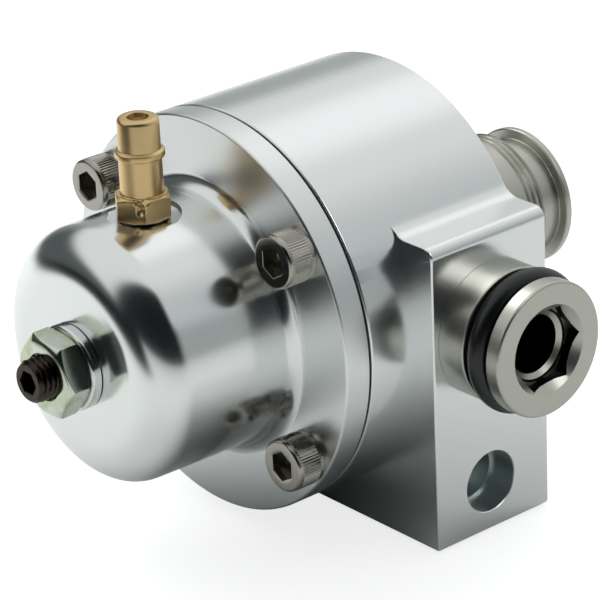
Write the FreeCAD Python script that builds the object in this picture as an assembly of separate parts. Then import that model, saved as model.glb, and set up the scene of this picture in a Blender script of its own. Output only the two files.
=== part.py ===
"""Adjustable fuel pressure regulator with a polished bell cap and two O-ring spigots.

Frame: millimetres, +Z up. The main axis runs along Y with the bell cap at -Y, and the side
port looks along +X. The origin is on the flat underside of the port block, straight below the
point where the main axis and the side port's plane meet.
"""
import FreeCAD
import Part

import math
import os

V = FreeCAD.Vector

# Body: a turned barrel with a square port block standing on its flat underside
body_od = 60.3
barrel_lift = 1.65
neck_length = 8.85
block_depth = 22.3
block_rise = 15.4
block_overhang = 3.1
block_corner_radius = 1.7
block_blend_radius = 4.0
edge_break = 0.3
mouth_break = 0.12

# Bell cap
flange_thickness = 4.25
flange_chamfer = 0.35
bell_height = 24.5
flange_ledge = 11.05
bell_draft = 0.012
bell_corner_radius = 5.6
bell_crown = 0.35
bell_root_radius = 2.2
bell_wall = 3.1
bell_front_wall = 3.2
convolution_recess_depth = 2.6
thread_boss_radius = 6.0
thread_boss_length = 1.8

# Cap screws, number 10 socket head
screw_edge_distance = 4.05
screw_angle = 37.0
screw_radius = 2.4
screw_engagement = 10.5
screw_head_radius = 3.96
screw_head_height = 4.83
screw_socket_flats = 3.97
screw_socket_depth = 2.6
screw_socket_turn = 30.0
screw_clearance = 0.2
screw_hole_spare = 1.5

# Diaphragm and the stack that it carries
diaphragm_thickness = 0.5
diaphragm_edge_inset = 0.55
diaphragm_clamp_radius = 20.0
convolution_height = 1.6
plate_radius = 12.5
plate_thickness = 1.2
cup_lip_width = 1.2
cup_lip_height = 1.5
holder_boss_radius = 4.2
holder_boss_height = 3.0
stud_radius = 2.5
stud_spare = 0.7
stud_nut_flats = 8.0
stud_nut_height = 2.8
ball_radius = 2.4
ball_show = 1.1

# Valve seat, pressed into the web behind the fuel chamber
seat_bore_radius = 1.8
seat_tube_radius = 3.2
seat_flange_radius = 4.6
seat_flange_thickness = 1.2
chamber_shelf_depth = 4.0
chamber_radius = 13.5
web_thickness = 2.55

# Spring and its upper seat
wire_diameter = 2.6
spring_mean_radius = 9.2
spring_turns = 4.0
spring_closed_turns = 0.75
spring_steps = 24
spring_sides = 12
spring_seat_thickness = 2.0
spring_seat_overlap = 0.4
spring_guide_length = 2.4
screw_pocket_depth = 0.8

# Adjusting screw, lock nut and washer, quarter inch with 28 threads to the inch
adjuster_radius = 3.175
adjuster_length = 17.5
adjuster_projection = 2.75
adjuster_point_chamfer = 0.5
adjuster_socket_flats = 3.175
adjuster_socket_depth = 3.5
nut_flats = 11.11
nut_height = 3.9
nut_turn = 54.0
washer_radius = 6.35
washer_thickness = 1.6

# Vacuum nipple, standing on a spot face on top of the bell
nipple_setback = 10.65
spot_face_radius = 4.9
spot_face_depth = 0.6
gasket_radius = 3.7
gasket_thickness = 0.5
nipple_hex_flats = 7.5
nipple_hex_height = 3.3
nipple_hex_turn = 34.0
nipple_lower_radius = 3.1
nipple_lower_length = 5.4
nipple_barb_radius = 3.6
nipple_barb_length = 1.1
nipple_upper_radius = 3.0
nipple_upper_length = 4.8
nipple_mouth_radius = 1.45
nipple_bore_radius = 1.0
nipple_tail_radius = 2.4

# Ports in the block
side_port_rise = 0.4
port_thread_radius = 8.0
side_port_depth = 11.0
side_passage_radius = 3.9
rear_port_depth = 7.0
seal_section_radius = 0.6
seal_groove_width = 1.9
seal_groove_depth = 1.3
gauge_port_height = 7.6
gauge_port_shift = -0.5
gauge_mouth_radius = 4.72
gauge_mouth_depth = 4.8
gauge_port_radius = 4.3
gauge_port_depth = 14.0
gallery_radius = 2.0

# Side spigot
side_neck_radius = 10.2
side_neck_length = 4.85
side_groove_width = 4.4
side_groove_radius = 7.4
side_rim_radius = 10.05
side_rim_width = 2.5
side_oring_section = 3.3
spigot_bore_radius = 4.4
spigot_hex_flats = 11.1
spigot_hex_depth = 2.5
spigot_mouth_radius = 6.75
spigot_mouth_depth = 0.35
side_hex_turn = 54.4

# Rear spigot
rear_shank_radius = 11.45
rear_shank_length = 18.65
ridge_pitch = 1.05
ridge_count = 3
ridge_depth = 0.6
rear_neck_radius = 9.3
rear_neck_length = 5.15
rear_neck_taper = 1.1
rear_rim_radius = 10.85
rear_rim_width = 1.1
rear_rim_chamfer = 0.3

# Fits
thread_gap = 0.03
press_gap = 0.02
running_gap = 0.05
seat_gap = 0.04
soft_gap = 0.25

# Radii and heights that follow the barrel
body_radius = body_od / 2
axis_height = body_radius + barrel_lift
block_side = axis_height + block_rise
block_reach = body_radius + block_overhang
side_port_z = axis_height + side_port_rise
screw_circle_radius = body_radius - screw_edge_distance
bell_radius = body_radius - flange_ledge
bell_bore_radius = bell_radius - bell_wall
spot_face_height = bell_radius - spot_face_depth

# Planes along the main axis
y_block_front = -block_depth / 2
y_back = block_depth / 2
y_body_front = y_block_front - neck_length
y_flange_back = y_body_front - diaphragm_thickness
y_flange_front = y_flange_back - flange_thickness
y_bell_front = y_flange_front - bell_height
y_nipple = y_flange_front - nipple_setback
y_washer_front = y_bell_front - washer_thickness
y_nut_front = y_washer_front - nut_height
y_screw_end = y_nut_front - adjuster_projection
y_screw_point = y_screw_end + adjuster_length
y_cup_face = y_flange_back - plate_thickness
y_plate_back = y_body_front + plate_thickness
y_spring_top = y_screw_point + running_gap - screw_pocket_depth + spring_seat_thickness
y_rear_port = y_back - rear_port_depth
y_chamber_end = y_rear_port - web_thickness

AXIS = V(0, 1, 0)


def path(start, *steps):
    """A closed wire in the XY sketch plane; a step is a point, or a pair of arc mid and end."""
    edges = []
    here = V(*start, 0)
    for step in steps + (start,):
        if isinstance(step[0], tuple):
            mid, end = V(*step[0], 0), V(*step[1], 0)
            edges.append(Part.Arc(here, mid, end).toShape())
        else:
            end = V(*step, 0)
            if here.distanceToPoint(end) > 1e-6:
                edges.append(Part.LineSegment(here, end).toShape())
        here = end
    return Part.Wire(edges)


def spin(start, *steps):
    """A solid of revolution about the sketch's Y axis; sketch X is the radius."""
    return Part.Face(path(start, *steps)).revolve(V(0, 0, 0), AXIS, 360)


def on_main_axis(shape):
    """Lift a shape made about the sketch's Y axis to the height of the main axis."""
    return shape.translated(V(0, 0, axis_height))


def along_x(shape, y, z):
    """Turn a shape made about the sketch's Y axis so that it points along +X through (y, z)."""
    turned = shape.copy()
    turned.rotate(V(0, 0, 0), V(0, 0, 1), -90)
    return turned.translated(V(0, y, z))


def upright(shape, y, z):
    """Turn a shape made about the sketch's Y axis so that it points up from (0, y, z)."""
    turned = shape.copy()
    turned.rotate(V(0, 0, 0), V(1, 0, 0), 90)
    return turned.translated(V(0, y, z))


def arc_corner(centre, radius, start_deg, end_deg):
    """The mid and end points of an arc about a centre, for use as a path step."""
    cx, cy = centre
    mid, end = math.radians((start_deg + end_deg) / 2), math.radians(end_deg)
    return ((cx + radius * math.cos(mid), cy + radius * math.sin(mid)),
            (cx + radius * math.cos(end), cy + radius * math.sin(end)))


def hexagon(flats, y_low, y_high, turn=0.0):
    """A hexagonal prism about the sketch's Y axis, one corner turned from +X about the axis."""
    corner = flats / math.sqrt(3)
    points = []
    for k in range(7):
        angle = math.radians(turn + 60 * k)
        points.append(V(corner * math.cos(angle), y_low, corner * math.sin(angle)))
    return Part.Face(Part.makePolygon(points)).extrude(V(0, y_high - y_low, 0))


def tube(radius, y_low, y_high):
    """A plain cylinder about the sketch's Y axis."""
    return Part.makeCylinder(radius, y_high - y_low, V(0, y_low, 0), AXIS)


def ring(mean_radius, section_radius, y):
    """A torus about the sketch's Y axis."""
    return Part.makeTorus(mean_radius, section_radius, V(0, y, 0), AXIS)


def screw_places():
    """The centres of the four cap screws, as (x, z), from the upper right anticlockwise."""
    across = screw_circle_radius * math.cos(math.radians(screw_angle))
    up = screw_circle_radius * math.sin(math.radians(screw_angle))
    return [(across, axis_height + up), (-across, axis_height + up),
            (-across, axis_height - up), (across, axis_height - up)]


def blend_points(offset, wall):
    """Tangent and mid points of the concave blend between the barrel and a flat of the block.

    offset is how far the flat lies from the main axis; wall gives the sign of its other side.
    """
    reach = math.sqrt((body_radius + block_blend_radius) ** 2 - (offset + block_blend_radius) ** 2)
    centre = (wall * reach, offset + block_blend_radius)
    size = math.hypot(*centre)
    on_barrel = (centre[0] * body_radius / size, centre[1] * body_radius / size)
    on_flat = (centre[0], offset)
    toward = (on_barrel[0] + on_flat[0] - 2 * centre[0], on_barrel[1] + on_flat[1] - 2 * centre[1])
    length = math.hypot(*toward)
    mid = (centre[0] + block_blend_radius * toward[0] / length,
           centre[1] + block_blend_radius * toward[1] / length)
    return on_flat, mid, on_barrel


def port_block():
    """The square block, blended into the barrel at its top and at its left foot."""
    top = block_side - axis_height
    left = block_side - block_reach
    top_flat, top_mid, top_barrel = blend_points(top, 1)
    side_flat, side_mid, side_barrel = blend_points(left, 1)
    foot_flat = (-side_flat[1], -side_flat[0])
    foot_mid = (-side_mid[1], -side_mid[0])
    foot_barrel = (-side_barrel[1], -side_barrel[0])
    corner = (block_reach - block_corner_radius, top - block_corner_radius)
    wire = path((-left, -axis_height), (block_reach, -axis_height), (block_reach, corner[1]),
                arc_corner(corner, block_corner_radius, 0, 90), top_flat, (top_mid, top_barrel),
                (0, 0), foot_barrel, (foot_mid, foot_flat))
    block = Part.Face(wire).extrude(V(0, 0, -block_depth))
    block.rotate(V(0, 0, 0), V(1, 0, 0), 90)
    block.translate(V(0, y_block_front, axis_height))
    outline = []
    for edge in block.Edges:
        middle = edge.valueAt((edge.FirstParameter + edge.LastParameter) / 2)
        flat_end = abs(abs(middle.y) - block_depth / 2) < 1e-3
        outside = math.hypot(middle.x, middle.z - axis_height) > body_radius - 1e-3
        long_corner = abs(middle.y) < 1e-3 and abs(middle.z) < 1e-3
        if (flat_end and outside) or long_corner:
            outline.append(edge)
    return block.makeChamfer(edge_break, outline)


def port_cut(depth):
    """The tapped bore and the seal's counterbore, opening at sketch y = 0 and running to -depth."""
    mouth = port_thread_radius + seal_groove_width
    return tube(port_thread_radius + thread_gap, -depth, 1).fuse(tube(mouth, -seal_groove_depth, 1))


def make_body():
    """The billet body: barrel, block, fuel chamber, ports, gallery and tapped holes."""
    barrel = spin((0, y_body_front), (body_radius - edge_break, y_body_front),
                  (body_radius, y_body_front + edge_break), (body_radius, y_back - edge_break),
                  (body_radius - edge_break, y_back), (0, y_back))
    solid = on_main_axis(barrel).fuse(port_block())

    shelf = y_body_front + chamber_shelf_depth
    chamber = spin((0, y_body_front - 1), (diaphragm_clamp_radius, y_body_front - 1),
                   (diaphragm_clamp_radius, shelf), (chamber_radius, shelf),
                   (chamber_radius, y_chamber_end), (0, y_chamber_end))
    seat_hole = tube(seat_tube_radius + press_gap, y_chamber_end - 1, y_back)
    rear_port = port_cut(rear_port_depth).translated(V(0, y_back, 0))
    cuts = [on_main_axis(s) for s in (chamber, seat_hole, rear_port)]

    side_port = port_cut(side_port_depth).translated(V(0, block_reach, 0))
    passage = tube(side_passage_radius, chamber_radius - 1.5, block_reach)
    cuts.append(along_x(side_port, 0, side_port_z))
    cuts.append(along_x(passage, 0, side_port_z))

    gauge_end = block_reach - gauge_port_depth
    drill_point = gauge_port_radius / math.tan(math.radians(59))
    gauge = spin((0, gauge_end - drill_point), (gauge_port_radius, gauge_end),
                 (gauge_port_radius, block_reach - gauge_mouth_depth),
                 (gauge_mouth_radius, block_reach - gauge_mouth_depth),
                 (gauge_mouth_radius, block_reach - mouth_break),
                 (gauge_mouth_radius + mouth_break, block_reach),
                 (gauge_mouth_radius + mouth_break, block_reach + 1), (0, block_reach + 1))
    cuts.append(along_x(gauge, gauge_port_shift, gauge_port_height))
    start = V(gauge_end + gauge_port_radius, gauge_port_shift, gauge_port_height)
    target = V(chamber_radius - 2 * gallery_radius, y_chamber_end - gallery_radius,
               axis_height - chamber_radius + 2 * gallery_radius)
    run = target - start
    cuts.append(Part.makeCylinder(gallery_radius, run.Length, start, run))

    hole_depth = screw_engagement + screw_hole_spare
    for x, z in screw_places():
        cuts.append(Part.makeCylinder(screw_radius + thread_gap, hole_depth + 1,
                                      V(x, y_body_front - 1, z), AXIS))
    return solid.cut(cuts)


def bell_outline():
    """Path steps of the bell's outside, from the flange's root up to the middle of its front."""
    foot = bell_radius + bell_draft * (bell_height - bell_corner_radius)
    root_end = y_flange_front - bell_root_radius
    root_centre = (foot + bell_root_radius, root_end)
    corner = (bell_radius - bell_corner_radius, y_bell_front + bell_crown + bell_corner_radius)
    crown_edge = (corner[0], y_bell_front + bell_crown)
    crown_mid = (corner[0] / 2, y_bell_front + bell_crown / 4)
    return [(root_centre[0], y_flange_front), arc_corner(root_centre, bell_root_radius, 90, 180),
            (bell_radius, corner[1]), arc_corner(corner, bell_corner_radius, 0, -90),
            (crown_mid, (0, y_bell_front))], crown_edge


def make_cap():
    """The bell cap: flange, bell, thread boss, spot face for the nipple and screw holes."""
    steps, _ = bell_outline()
    outer = spin((0, y_flange_back), (body_radius, y_flange_back),
                 (body_radius, y_flange_front + flange_chamfer),
                 (body_radius - flange_chamfer, y_flange_front), *steps)
    inner_front = y_bell_front + bell_front_wall
    inner_corner_radius = bell_corner_radius - 1.6
    corner = (bell_bore_radius - inner_corner_radius, inner_front + inner_corner_radius)
    recess = y_flange_back - convolution_recess_depth
    boss_end = inner_front + thread_boss_length
    cavity = spin((0, y_flange_back + 1), (diaphragm_clamp_radius, y_flange_back + 1),
                  (diaphragm_clamp_radius, recess), (bell_bore_radius, recess),
                  (bell_bore_radius, corner[1]), arc_corner(corner, inner_corner_radius, 0, -90),
                  (thread_boss_radius, inner_front), (thread_boss_radius, boss_end), (0, boss_end))
    screw_hole = tube(adjuster_radius + running_gap, y_bell_front - 1, boss_end + 1)
    solid = outer.cut([cavity, screw_hole])

    spot = tube(spot_face_radius, 0, bell_radius)
    nipple_hole = tube(nipple_tail_radius + thread_gap, -bell_wall - 1, 1)
    cuts = [upright(spot, y_nipple, spot_face_height), upright(nipple_hole, y_nipple, spot_face_height)]
    for x, z in screw_places():
        cuts.append(Part.makeCylinder(screw_radius + screw_clearance, flange_thickness + 2,
                                      V(x, y_flange_front - 1, z - axis_height), AXIS))
    return on_main_axis(solid.cut(cuts))


def make_cap_screw(x, z):
    """A socket head cap screw whose head bears on the flange."""
    head_end = y_flange_front - screw_head_height
    point = y_body_front + screw_engagement
    bevel = 0.35
    tip = 0.5
    blank = spin((0, head_end), (screw_head_radius - bevel, head_end),
                 (screw_head_radius, head_end + bevel), (screw_head_radius, y_flange_front),
                 (screw_radius, y_flange_front), (screw_radius, point - tip),
                 (screw_radius - tip, point), (0, point))
    socket = hexagon(screw_socket_flats, head_end - 1, head_end + screw_socket_depth,
                     screw_socket_turn)
    return blank.cut(socket).translated(V(x, 0, z))


def make_diaphragm():
    """The clamped diaphragm with one convolution, punched for the stud and the cap screws."""
    inner = plate_radius + cup_lip_width / 2
    outer = diaphragm_clamp_radius - cup_lip_width / 2
    middle = (inner + outer) / 2
    edge = body_radius - diaphragm_edge_inset
    hole = stud_radius + running_gap
    top, low = y_flange_back, y_body_front
    crest = top - convolution_height
    half = (outer - inner) / 2
    slim = half - diaphragm_thickness
    crest_low = low - convolution_height
    sheet = spin((hole, top), (inner, top), ((middle, crest), (outer, top)), (edge, top),
                 (edge, low), (middle + slim, low), ((middle, crest_low), (middle - slim, low)),
                 (hole, low))
    holes = [Part.makeCylinder(screw_radius + screw_clearance, diaphragm_thickness + 2,
                               V(x, top - 1, z - axis_height), AXIS) for x, z in screw_places()]
    return on_main_axis(sheet.cut(holes))


def make_spring_cup():
    """The upper diaphragm plate, whose lip centres the spring."""
    lip = y_cup_face - cup_lip_height
    radius = plate_radius
    hole = stud_radius + running_gap
    bend = plate_thickness / 2
    cup = spin((hole, y_flange_back), (radius - bend, y_flange_back),
               arc_corner((radius - bend, y_flange_back - bend), bend, 90, 0),
               (radius, lip), (radius - cup_lip_width, lip),
               (radius - cup_lip_width, y_cup_face), (hole, y_cup_face))
    return on_main_axis(cup)


def ball_centre_y():
    """The middle of the ball, sunk in the end of the valve holder."""
    return y_plate_back + holder_boss_height + ball_show - ball_radius


def make_valve_holder():
    """The lower diaphragm plate with its stud, and the boss that holds the ball."""
    boss_end = y_plate_back + holder_boss_height
    stud_end = y_cup_face - stud_nut_height - stud_spare
    bevel = 0.4
    blank = spin((0, stud_end), (stud_radius - bevel, stud_end), (stud_radius, stud_end + bevel),
                 (stud_radius, y_body_front), (plate_radius - bevel, y_body_front),
                 (plate_radius, y_body_front + bevel), (plate_radius, y_plate_back),
                 (holder_boss_radius, y_plate_back), (holder_boss_radius, boss_end - bevel),
                 (holder_boss_radius - bevel, boss_end), (0, boss_end))
    socket = Part.makeSphere(ball_radius + press_gap, V(0, ball_centre_y(), 0))
    return on_main_axis(blank.cut(socket))


def make_valve_ball():
    """The ball that closes the seat."""
    return on_main_axis(Part.makeSphere(ball_radius, V(0, ball_centre_y(), 0)))


def make_stud_nut():
    """The nut that clamps the plates and the diaphragm on the stud."""
    low = y_cup_face - stud_nut_height
    prism = hexagon(stud_nut_flats, low, y_cup_face)
    return on_main_axis(prism.cut(tube(stud_radius + thread_gap, low - 1, y_cup_face + 1)))


def make_valve_seat():
    """The seat tube, pressed through the web, with its lip just off the ball."""
    contact = math.sqrt(ball_radius ** 2 - seat_bore_radius ** 2)
    lip = ball_centre_y() + contact + seat_gap
    land = seat_bore_radius + 0.4
    cone = lip + 0.8
    flange = y_chamber_end - seat_flange_thickness
    return on_main_axis(spin((seat_bore_radius, lip), (land, lip), (seat_tube_radius, cone),
                             (seat_tube_radius, flange), (seat_flange_radius, flange),
                             (seat_flange_radius, y_chamber_end), (seat_tube_radius, y_chamber_end),
                             (seat_tube_radius, y_rear_port), (seat_bore_radius, y_rear_port)))


def coil_rise(turn, rise):
    """How far along the axis the wire has climbed after that many turns, with closed ends."""
    closed = spring_closed_turns * wire_diameter
    slope = (rise - 2 * closed) / (spring_turns - 2 * spring_closed_turns)
    if turn < spring_closed_turns:
        return turn * wire_diameter
    if turn > spring_turns - spring_closed_turns:
        return rise - (spring_turns - turn) * wire_diameter
    return closed + (turn - spring_closed_turns) * slope


def make_spring():
    """The main spring between the cup and its upper seat, its wire drawn with narrow flats."""
    low = y_spring_top + wire_diameter / 2 + running_gap
    rise = y_cup_face - wire_diameter / 2 - running_gap - low
    count = int(spring_turns * spring_steps)
    rows = []
    for step in range(count + 1):
        turn = step / spring_steps
        angle = math.radians(360 * turn)
        outward = V(math.cos(angle), 0, math.sin(angle))
        middle = outward * spring_mean_radius + V(0, low + coil_rise(turn, rise), 0)
        row = []
        for corner in range(spring_sides):
            around = math.radians(360 * corner / spring_sides)
            row.append(middle + (outward * math.cos(around) + AXIS * math.sin(around)) * (wire_diameter / 2))
        rows.append(row)
    faces = []
    for here, there in zip(rows, rows[1:]):
        for k in range(spring_sides):
            n = (k + 1) % spring_sides
            for corners in ((here[k], here[n], there[k]), (here[n], there[n], there[k])):
                faces.append(Part.Face(Part.makePolygon(list(corners) + [corners[0]])))
    for row in (rows[0], rows[-1]):
        faces.append(Part.Face(Part.makePolygon(row + [row[0]])))
    coil = Part.Solid(Part.Shell(faces))
    if coil.Volume < 0:
        coil.reverse()
    return on_main_axis(coil)


def make_spring_seat():
    """The button between the adjusting screw and the spring, with a guide inside the coil."""
    back = y_spring_top - spring_seat_thickness
    rim = spring_mean_radius + wire_diameter / 2 + spring_seat_overlap
    guide = spring_mean_radius - wire_diameter / 2 - soft_gap
    guide_end = y_spring_top + spring_guide_length
    bevel = 0.6
    button = spin((0, back), (rim - bevel, back), (rim, back + bevel), (rim, y_spring_top),
                  (guide, y_spring_top), (guide, guide_end - bevel), (guide - bevel, guide_end),
                  (0, guide_end))
    pocket = tube(adjuster_radius + running_gap, back - 1, back + screw_pocket_depth)
    return on_main_axis(button.cut(pocket))


def make_adjusting_screw():
    """The socket set screw that loads the spring."""
    cut = adjuster_point_chamfer
    blank = spin((0, y_screw_end), (adjuster_radius - cut, y_screw_end),
                 (adjuster_radius, y_screw_end + cut), (adjuster_radius, y_screw_point - cut),
                 (adjuster_radius - cut, y_screw_point), (0, y_screw_point))
    socket = hexagon(adjuster_socket_flats, y_screw_end - 1, y_screw_end + adjuster_socket_depth)
    return on_main_axis(blank.cut(socket))


def make_lock_nut():
    """The jam nut, its corners turned off at both faces, bearing on the washer."""
    prism = hexagon(nut_flats, y_nut_front, y_washer_front, nut_turn)
    corner = nut_flats / math.sqrt(3)
    face = nut_flats / 2 - 0.3
    drop = (corner - face) * math.tan(math.radians(30))
    turned = spin((0, y_nut_front), (face, y_nut_front), (corner, y_nut_front + drop),
                  (corner, y_washer_front - drop), (face, y_washer_front), (0, y_washer_front))
    bore = tube(adjuster_radius + running_gap, y_nut_front - 1, y_washer_front + 1)
    return on_main_axis(prism.common(turned).cut(bore))


def make_lock_washer():
    """The thick plain washer between the nut and the bell."""
    hole = adjuster_radius + running_gap + 0.2
    ease = 0.15
    return on_main_axis(spin((hole, y_washer_front), (washer_radius - ease, y_washer_front),
                             (washer_radius, y_washer_front + ease),
                             (washer_radius, y_bell_front - ease),
                             (washer_radius - ease, y_bell_front), (hole, y_bell_front)))


def make_vacuum_nipple():
    """The brass hose nipple: tail, hexagon, barrel, barb and bevelled tip, bored through."""
    hex_top = gasket_thickness + nipple_hex_height
    barb = hex_top + nipple_lower_length
    barb_top = barb + nipple_barb_length
    tip = barb_top + nipple_upper_length
    ease = 0.55
    neck = nipple_lower_radius
    inside = spot_face_depth - bell_wall
    stem = spin((0, inside), (nipple_tail_radius, inside), (nipple_tail_radius, gasket_thickness),
                (neck, gasket_thickness), (neck, barb),
                (nipple_barb_radius, barb + ease / 2), (nipple_barb_radius, barb_top - ease / 2),
                (nipple_upper_radius, barb_top), (nipple_upper_radius, tip - ease),
                (nipple_upper_radius - ease, tip), (0, tip))
    corner = nipple_hex_flats / math.sqrt(3)
    face = nipple_hex_flats / 2 - 0.1
    drop = (corner - face) * math.tan(math.radians(30))
    turned = spin((0, gasket_thickness), (face, gasket_thickness), (corner, gasket_thickness + drop),
                  (corner, hex_top - drop), (face, hex_top), (0, hex_top))
    prism = hexagon(nipple_hex_flats, gasket_thickness, hex_top, nipple_hex_turn).common(turned)
    mouth = nipple_mouth_radius - nipple_bore_radius
    bore = spin((0, inside - 1), (nipple_bore_radius, inside - 1), (nipple_bore_radius, tip - 2 * mouth),
                (nipple_mouth_radius, tip - mouth), (nipple_mouth_radius, tip + 1), (0, tip + 1))
    return upright(stem.fuse(prism).cut(bore), y_nipple, axis_height + spot_face_height)


def make_nipple_gasket():
    """The thin sealing washer under the nipple's hexagon."""
    washer = tube(gasket_radius, 0, gasket_thickness)
    hole = tube(nipple_tail_radius + thread_gap, -1, gasket_thickness + 1)
    return upright(washer.cut(hole), y_nipple, axis_height + spot_face_height)


def spigot_bore(root, end, turn):
    """The through bore, the hexagon for an Allen key and its countersunk mouth."""
    bore = tube(spigot_bore_radius, root - 1, end + 1)
    socket = hexagon(spigot_hex_flats, end - spigot_hex_depth, end + 1, turn)
    mouth = spin((0, end - spigot_mouth_depth), (spigot_hex_flats / 2, end - spigot_mouth_depth),
                 (spigot_mouth_radius, end), (spigot_mouth_radius, end + 1), (0, end + 1))
    return bore.fuse([socket, mouth])


def make_side_fitting():
    """The side spigot: threaded tail, neck, O-ring groove and rim, with its bore."""
    groove = side_neck_length
    rim = groove + side_groove_width
    end = rim + side_rim_width
    root = -side_port_depth + 1
    ease = 0.35
    blank = spin((0, root), (port_thread_radius, root), (port_thread_radius, 0),
                 (side_neck_radius, 0), (side_neck_radius, groove - ease),
                 (side_neck_radius - ease, groove), (side_groove_radius, groove),
                 (side_groove_radius, rim), (side_rim_radius - ease, rim),
                 (side_rim_radius, rim + ease), (side_rim_radius, end - ease),
                 (side_rim_radius - ease, end), (0, end))
    fitting = blank.cut(spigot_bore(root, end, side_hex_turn)).translated(V(0, block_reach, 0))
    return along_x(fitting, 0, side_port_z)


def make_side_fitting_oring():
    """The O-ring in the side spigot's groove."""
    section = side_oring_section / 2
    mean = side_groove_radius + section + running_gap
    place = block_reach + side_neck_length + side_groove_width / 2
    return along_x(ring(mean, section, place), 0, side_port_z)


def seal_ring():
    """The O-ring between a spigot's shoulder and the counterbore of its port, at sketch y = 0."""
    mean = port_thread_radius + seal_groove_width / 2
    return ring(mean, seal_section_radius, -seal_groove_depth / 2)


def make_side_fitting_seal():
    """The seal under the side spigot's shoulder."""
    return along_x(seal_ring().translated(V(0, block_reach, 0)), 0, side_port_z)


def make_rear_fitting():
    """The rear spigot: tail, long shank, thread ridges, empty O-ring groove and thin rim."""
    ridge_start = rear_shank_length
    neck_start = ridge_start + ridge_count * ridge_pitch
    rim = neck_start + rear_neck_length
    end = rim + rear_rim_width
    root = -rear_port_depth + 1
    steps = [(port_thread_radius, root), (port_thread_radius, 0), (rear_shank_radius, 0),
             (rear_shank_radius, ridge_start)]
    for k in range(ridge_count):
        low = ridge_start + k * ridge_pitch
        steps.append((rear_shank_radius - ridge_depth, low + ridge_pitch / 4))
        steps.append((rear_shank_radius, low + ridge_pitch * 3 / 4))
        steps.append((rear_shank_radius, low + ridge_pitch))
    steps += [(rear_neck_radius, neck_start + rear_neck_taper), (rear_neck_radius, rim),
              (rear_rim_radius - rear_rim_chamfer, rim), (rear_rim_radius, rim + rear_rim_chamfer),
              (rear_rim_radius, end), (0, end)]
    blank = spin((0, root), *steps)
    fitting = blank.cut(spigot_bore(root, end, 0)).translated(V(0, y_back, 0))
    return on_main_axis(fitting)


def make_rear_fitting_seal():
    """The seal under the rear spigot's shoulder."""
    return on_main_axis(seal_ring().translated(V(0, y_back, 0)))


def build():
    """Every node of the regulator, by name."""
    nodes = {
        "body": make_body(),
        "cap": make_cap(),
        "diaphragm": make_diaphragm(),
        "spring_cup": make_spring_cup(),
        "valve_holder": make_valve_holder(),
        "stud_nut": make_stud_nut(),
        "valve_ball": make_valve_ball(),
        "valve_seat": make_valve_seat(),
        "main_spring": make_spring(),
        "spring_seat": make_spring_seat(),
        "adjusting_screw": make_adjusting_screw(),
        "lock_nut": make_lock_nut(),
        "lock_washer": make_lock_washer(),
        "vacuum_nipple": make_vacuum_nipple(),
        "nipple_gasket": make_nipple_gasket(),
        "side_fitting": make_side_fitting(),
        "side_fitting_oring": make_side_fitting_oring(),
        "side_fitting_seal": make_side_fitting_seal(),
        "rear_fitting": make_rear_fitting(),
        "rear_fitting_seal": make_rear_fitting_seal(),
    }
    for number, (x, z) in enumerate(screw_places(), start=1):
        nodes["cap_screw_%d" % number] = make_cap_screw(x, z)
    return nodes


os.makedirs("parts", exist_ok=True)
for name, shape in build().items():
    shape.exportStep("parts/%s.step" % name)
    print("%-20s solids %d valid %s volume %9.1f" % (name, len(shape.Solids), shape.isValid(), shape.Volume))
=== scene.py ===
"""Visual model of an adjustable fuel pressure regulator, dressed over its CAD frame.

Sizes are in millimetres in the part's own frame: +Y runs along the main axis from the bell cap
to the rear spigot, +X along the side spigot and +Z up. They turn into metres only when a mesh
is made.
"""
import logging
import math
from dataclasses import dataclass
from enum import Enum
from typing import ClassVar

import bmesh
import bpy
import numpy as np
from mathutils import Matrix, Vector


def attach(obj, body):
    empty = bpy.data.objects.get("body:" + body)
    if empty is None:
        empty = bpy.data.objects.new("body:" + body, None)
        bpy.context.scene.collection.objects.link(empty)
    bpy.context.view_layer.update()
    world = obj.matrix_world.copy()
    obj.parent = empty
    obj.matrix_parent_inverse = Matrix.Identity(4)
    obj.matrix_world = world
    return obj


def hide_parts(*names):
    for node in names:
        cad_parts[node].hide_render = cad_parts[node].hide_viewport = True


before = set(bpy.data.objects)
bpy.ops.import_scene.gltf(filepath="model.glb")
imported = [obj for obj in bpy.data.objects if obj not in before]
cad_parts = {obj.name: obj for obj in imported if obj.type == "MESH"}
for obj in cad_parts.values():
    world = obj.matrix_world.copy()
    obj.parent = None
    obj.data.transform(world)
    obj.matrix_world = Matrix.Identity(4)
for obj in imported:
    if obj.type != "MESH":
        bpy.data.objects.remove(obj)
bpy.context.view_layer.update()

# Units, and how meshes are joined and shaded
MM = 0.001
MICRON = 1e-6
MERGE_GAP = 0.0005 * MM
SHARP_ANGLE = math.radians(34)
WHOLE_TURN = 2 * math.pi
FLAT_PREFERENCE = 80
# Numbers of a Mix node's sockets, which share their names between data types
MIX_SHARE, MIX_NUMBERS, MIX_COLOURS, MIXED_COLOUR = 0, (2, 3), (6, 7), 2

log = logging.getLogger("regulator")


# Small helpers

def linear(code: str) -> tuple[float, float, float, float]:
    """Turn an sRGB hex colour into linear red, green, blue and a full alpha.

    Args:
        code: the colour, such as #E6E8E8.

    Returns:
        Red, green, blue and alpha from 0 to 1.
    """
    parts = [int(code[i:i + 2], 16) / 255 for i in (1, 3, 5)]
    bent = [p / 12.92 if p <= 0.04045 else ((p + 0.055) / 1.055) ** 2.4 for p in parts]
    return (*bent, 1.0)


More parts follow.
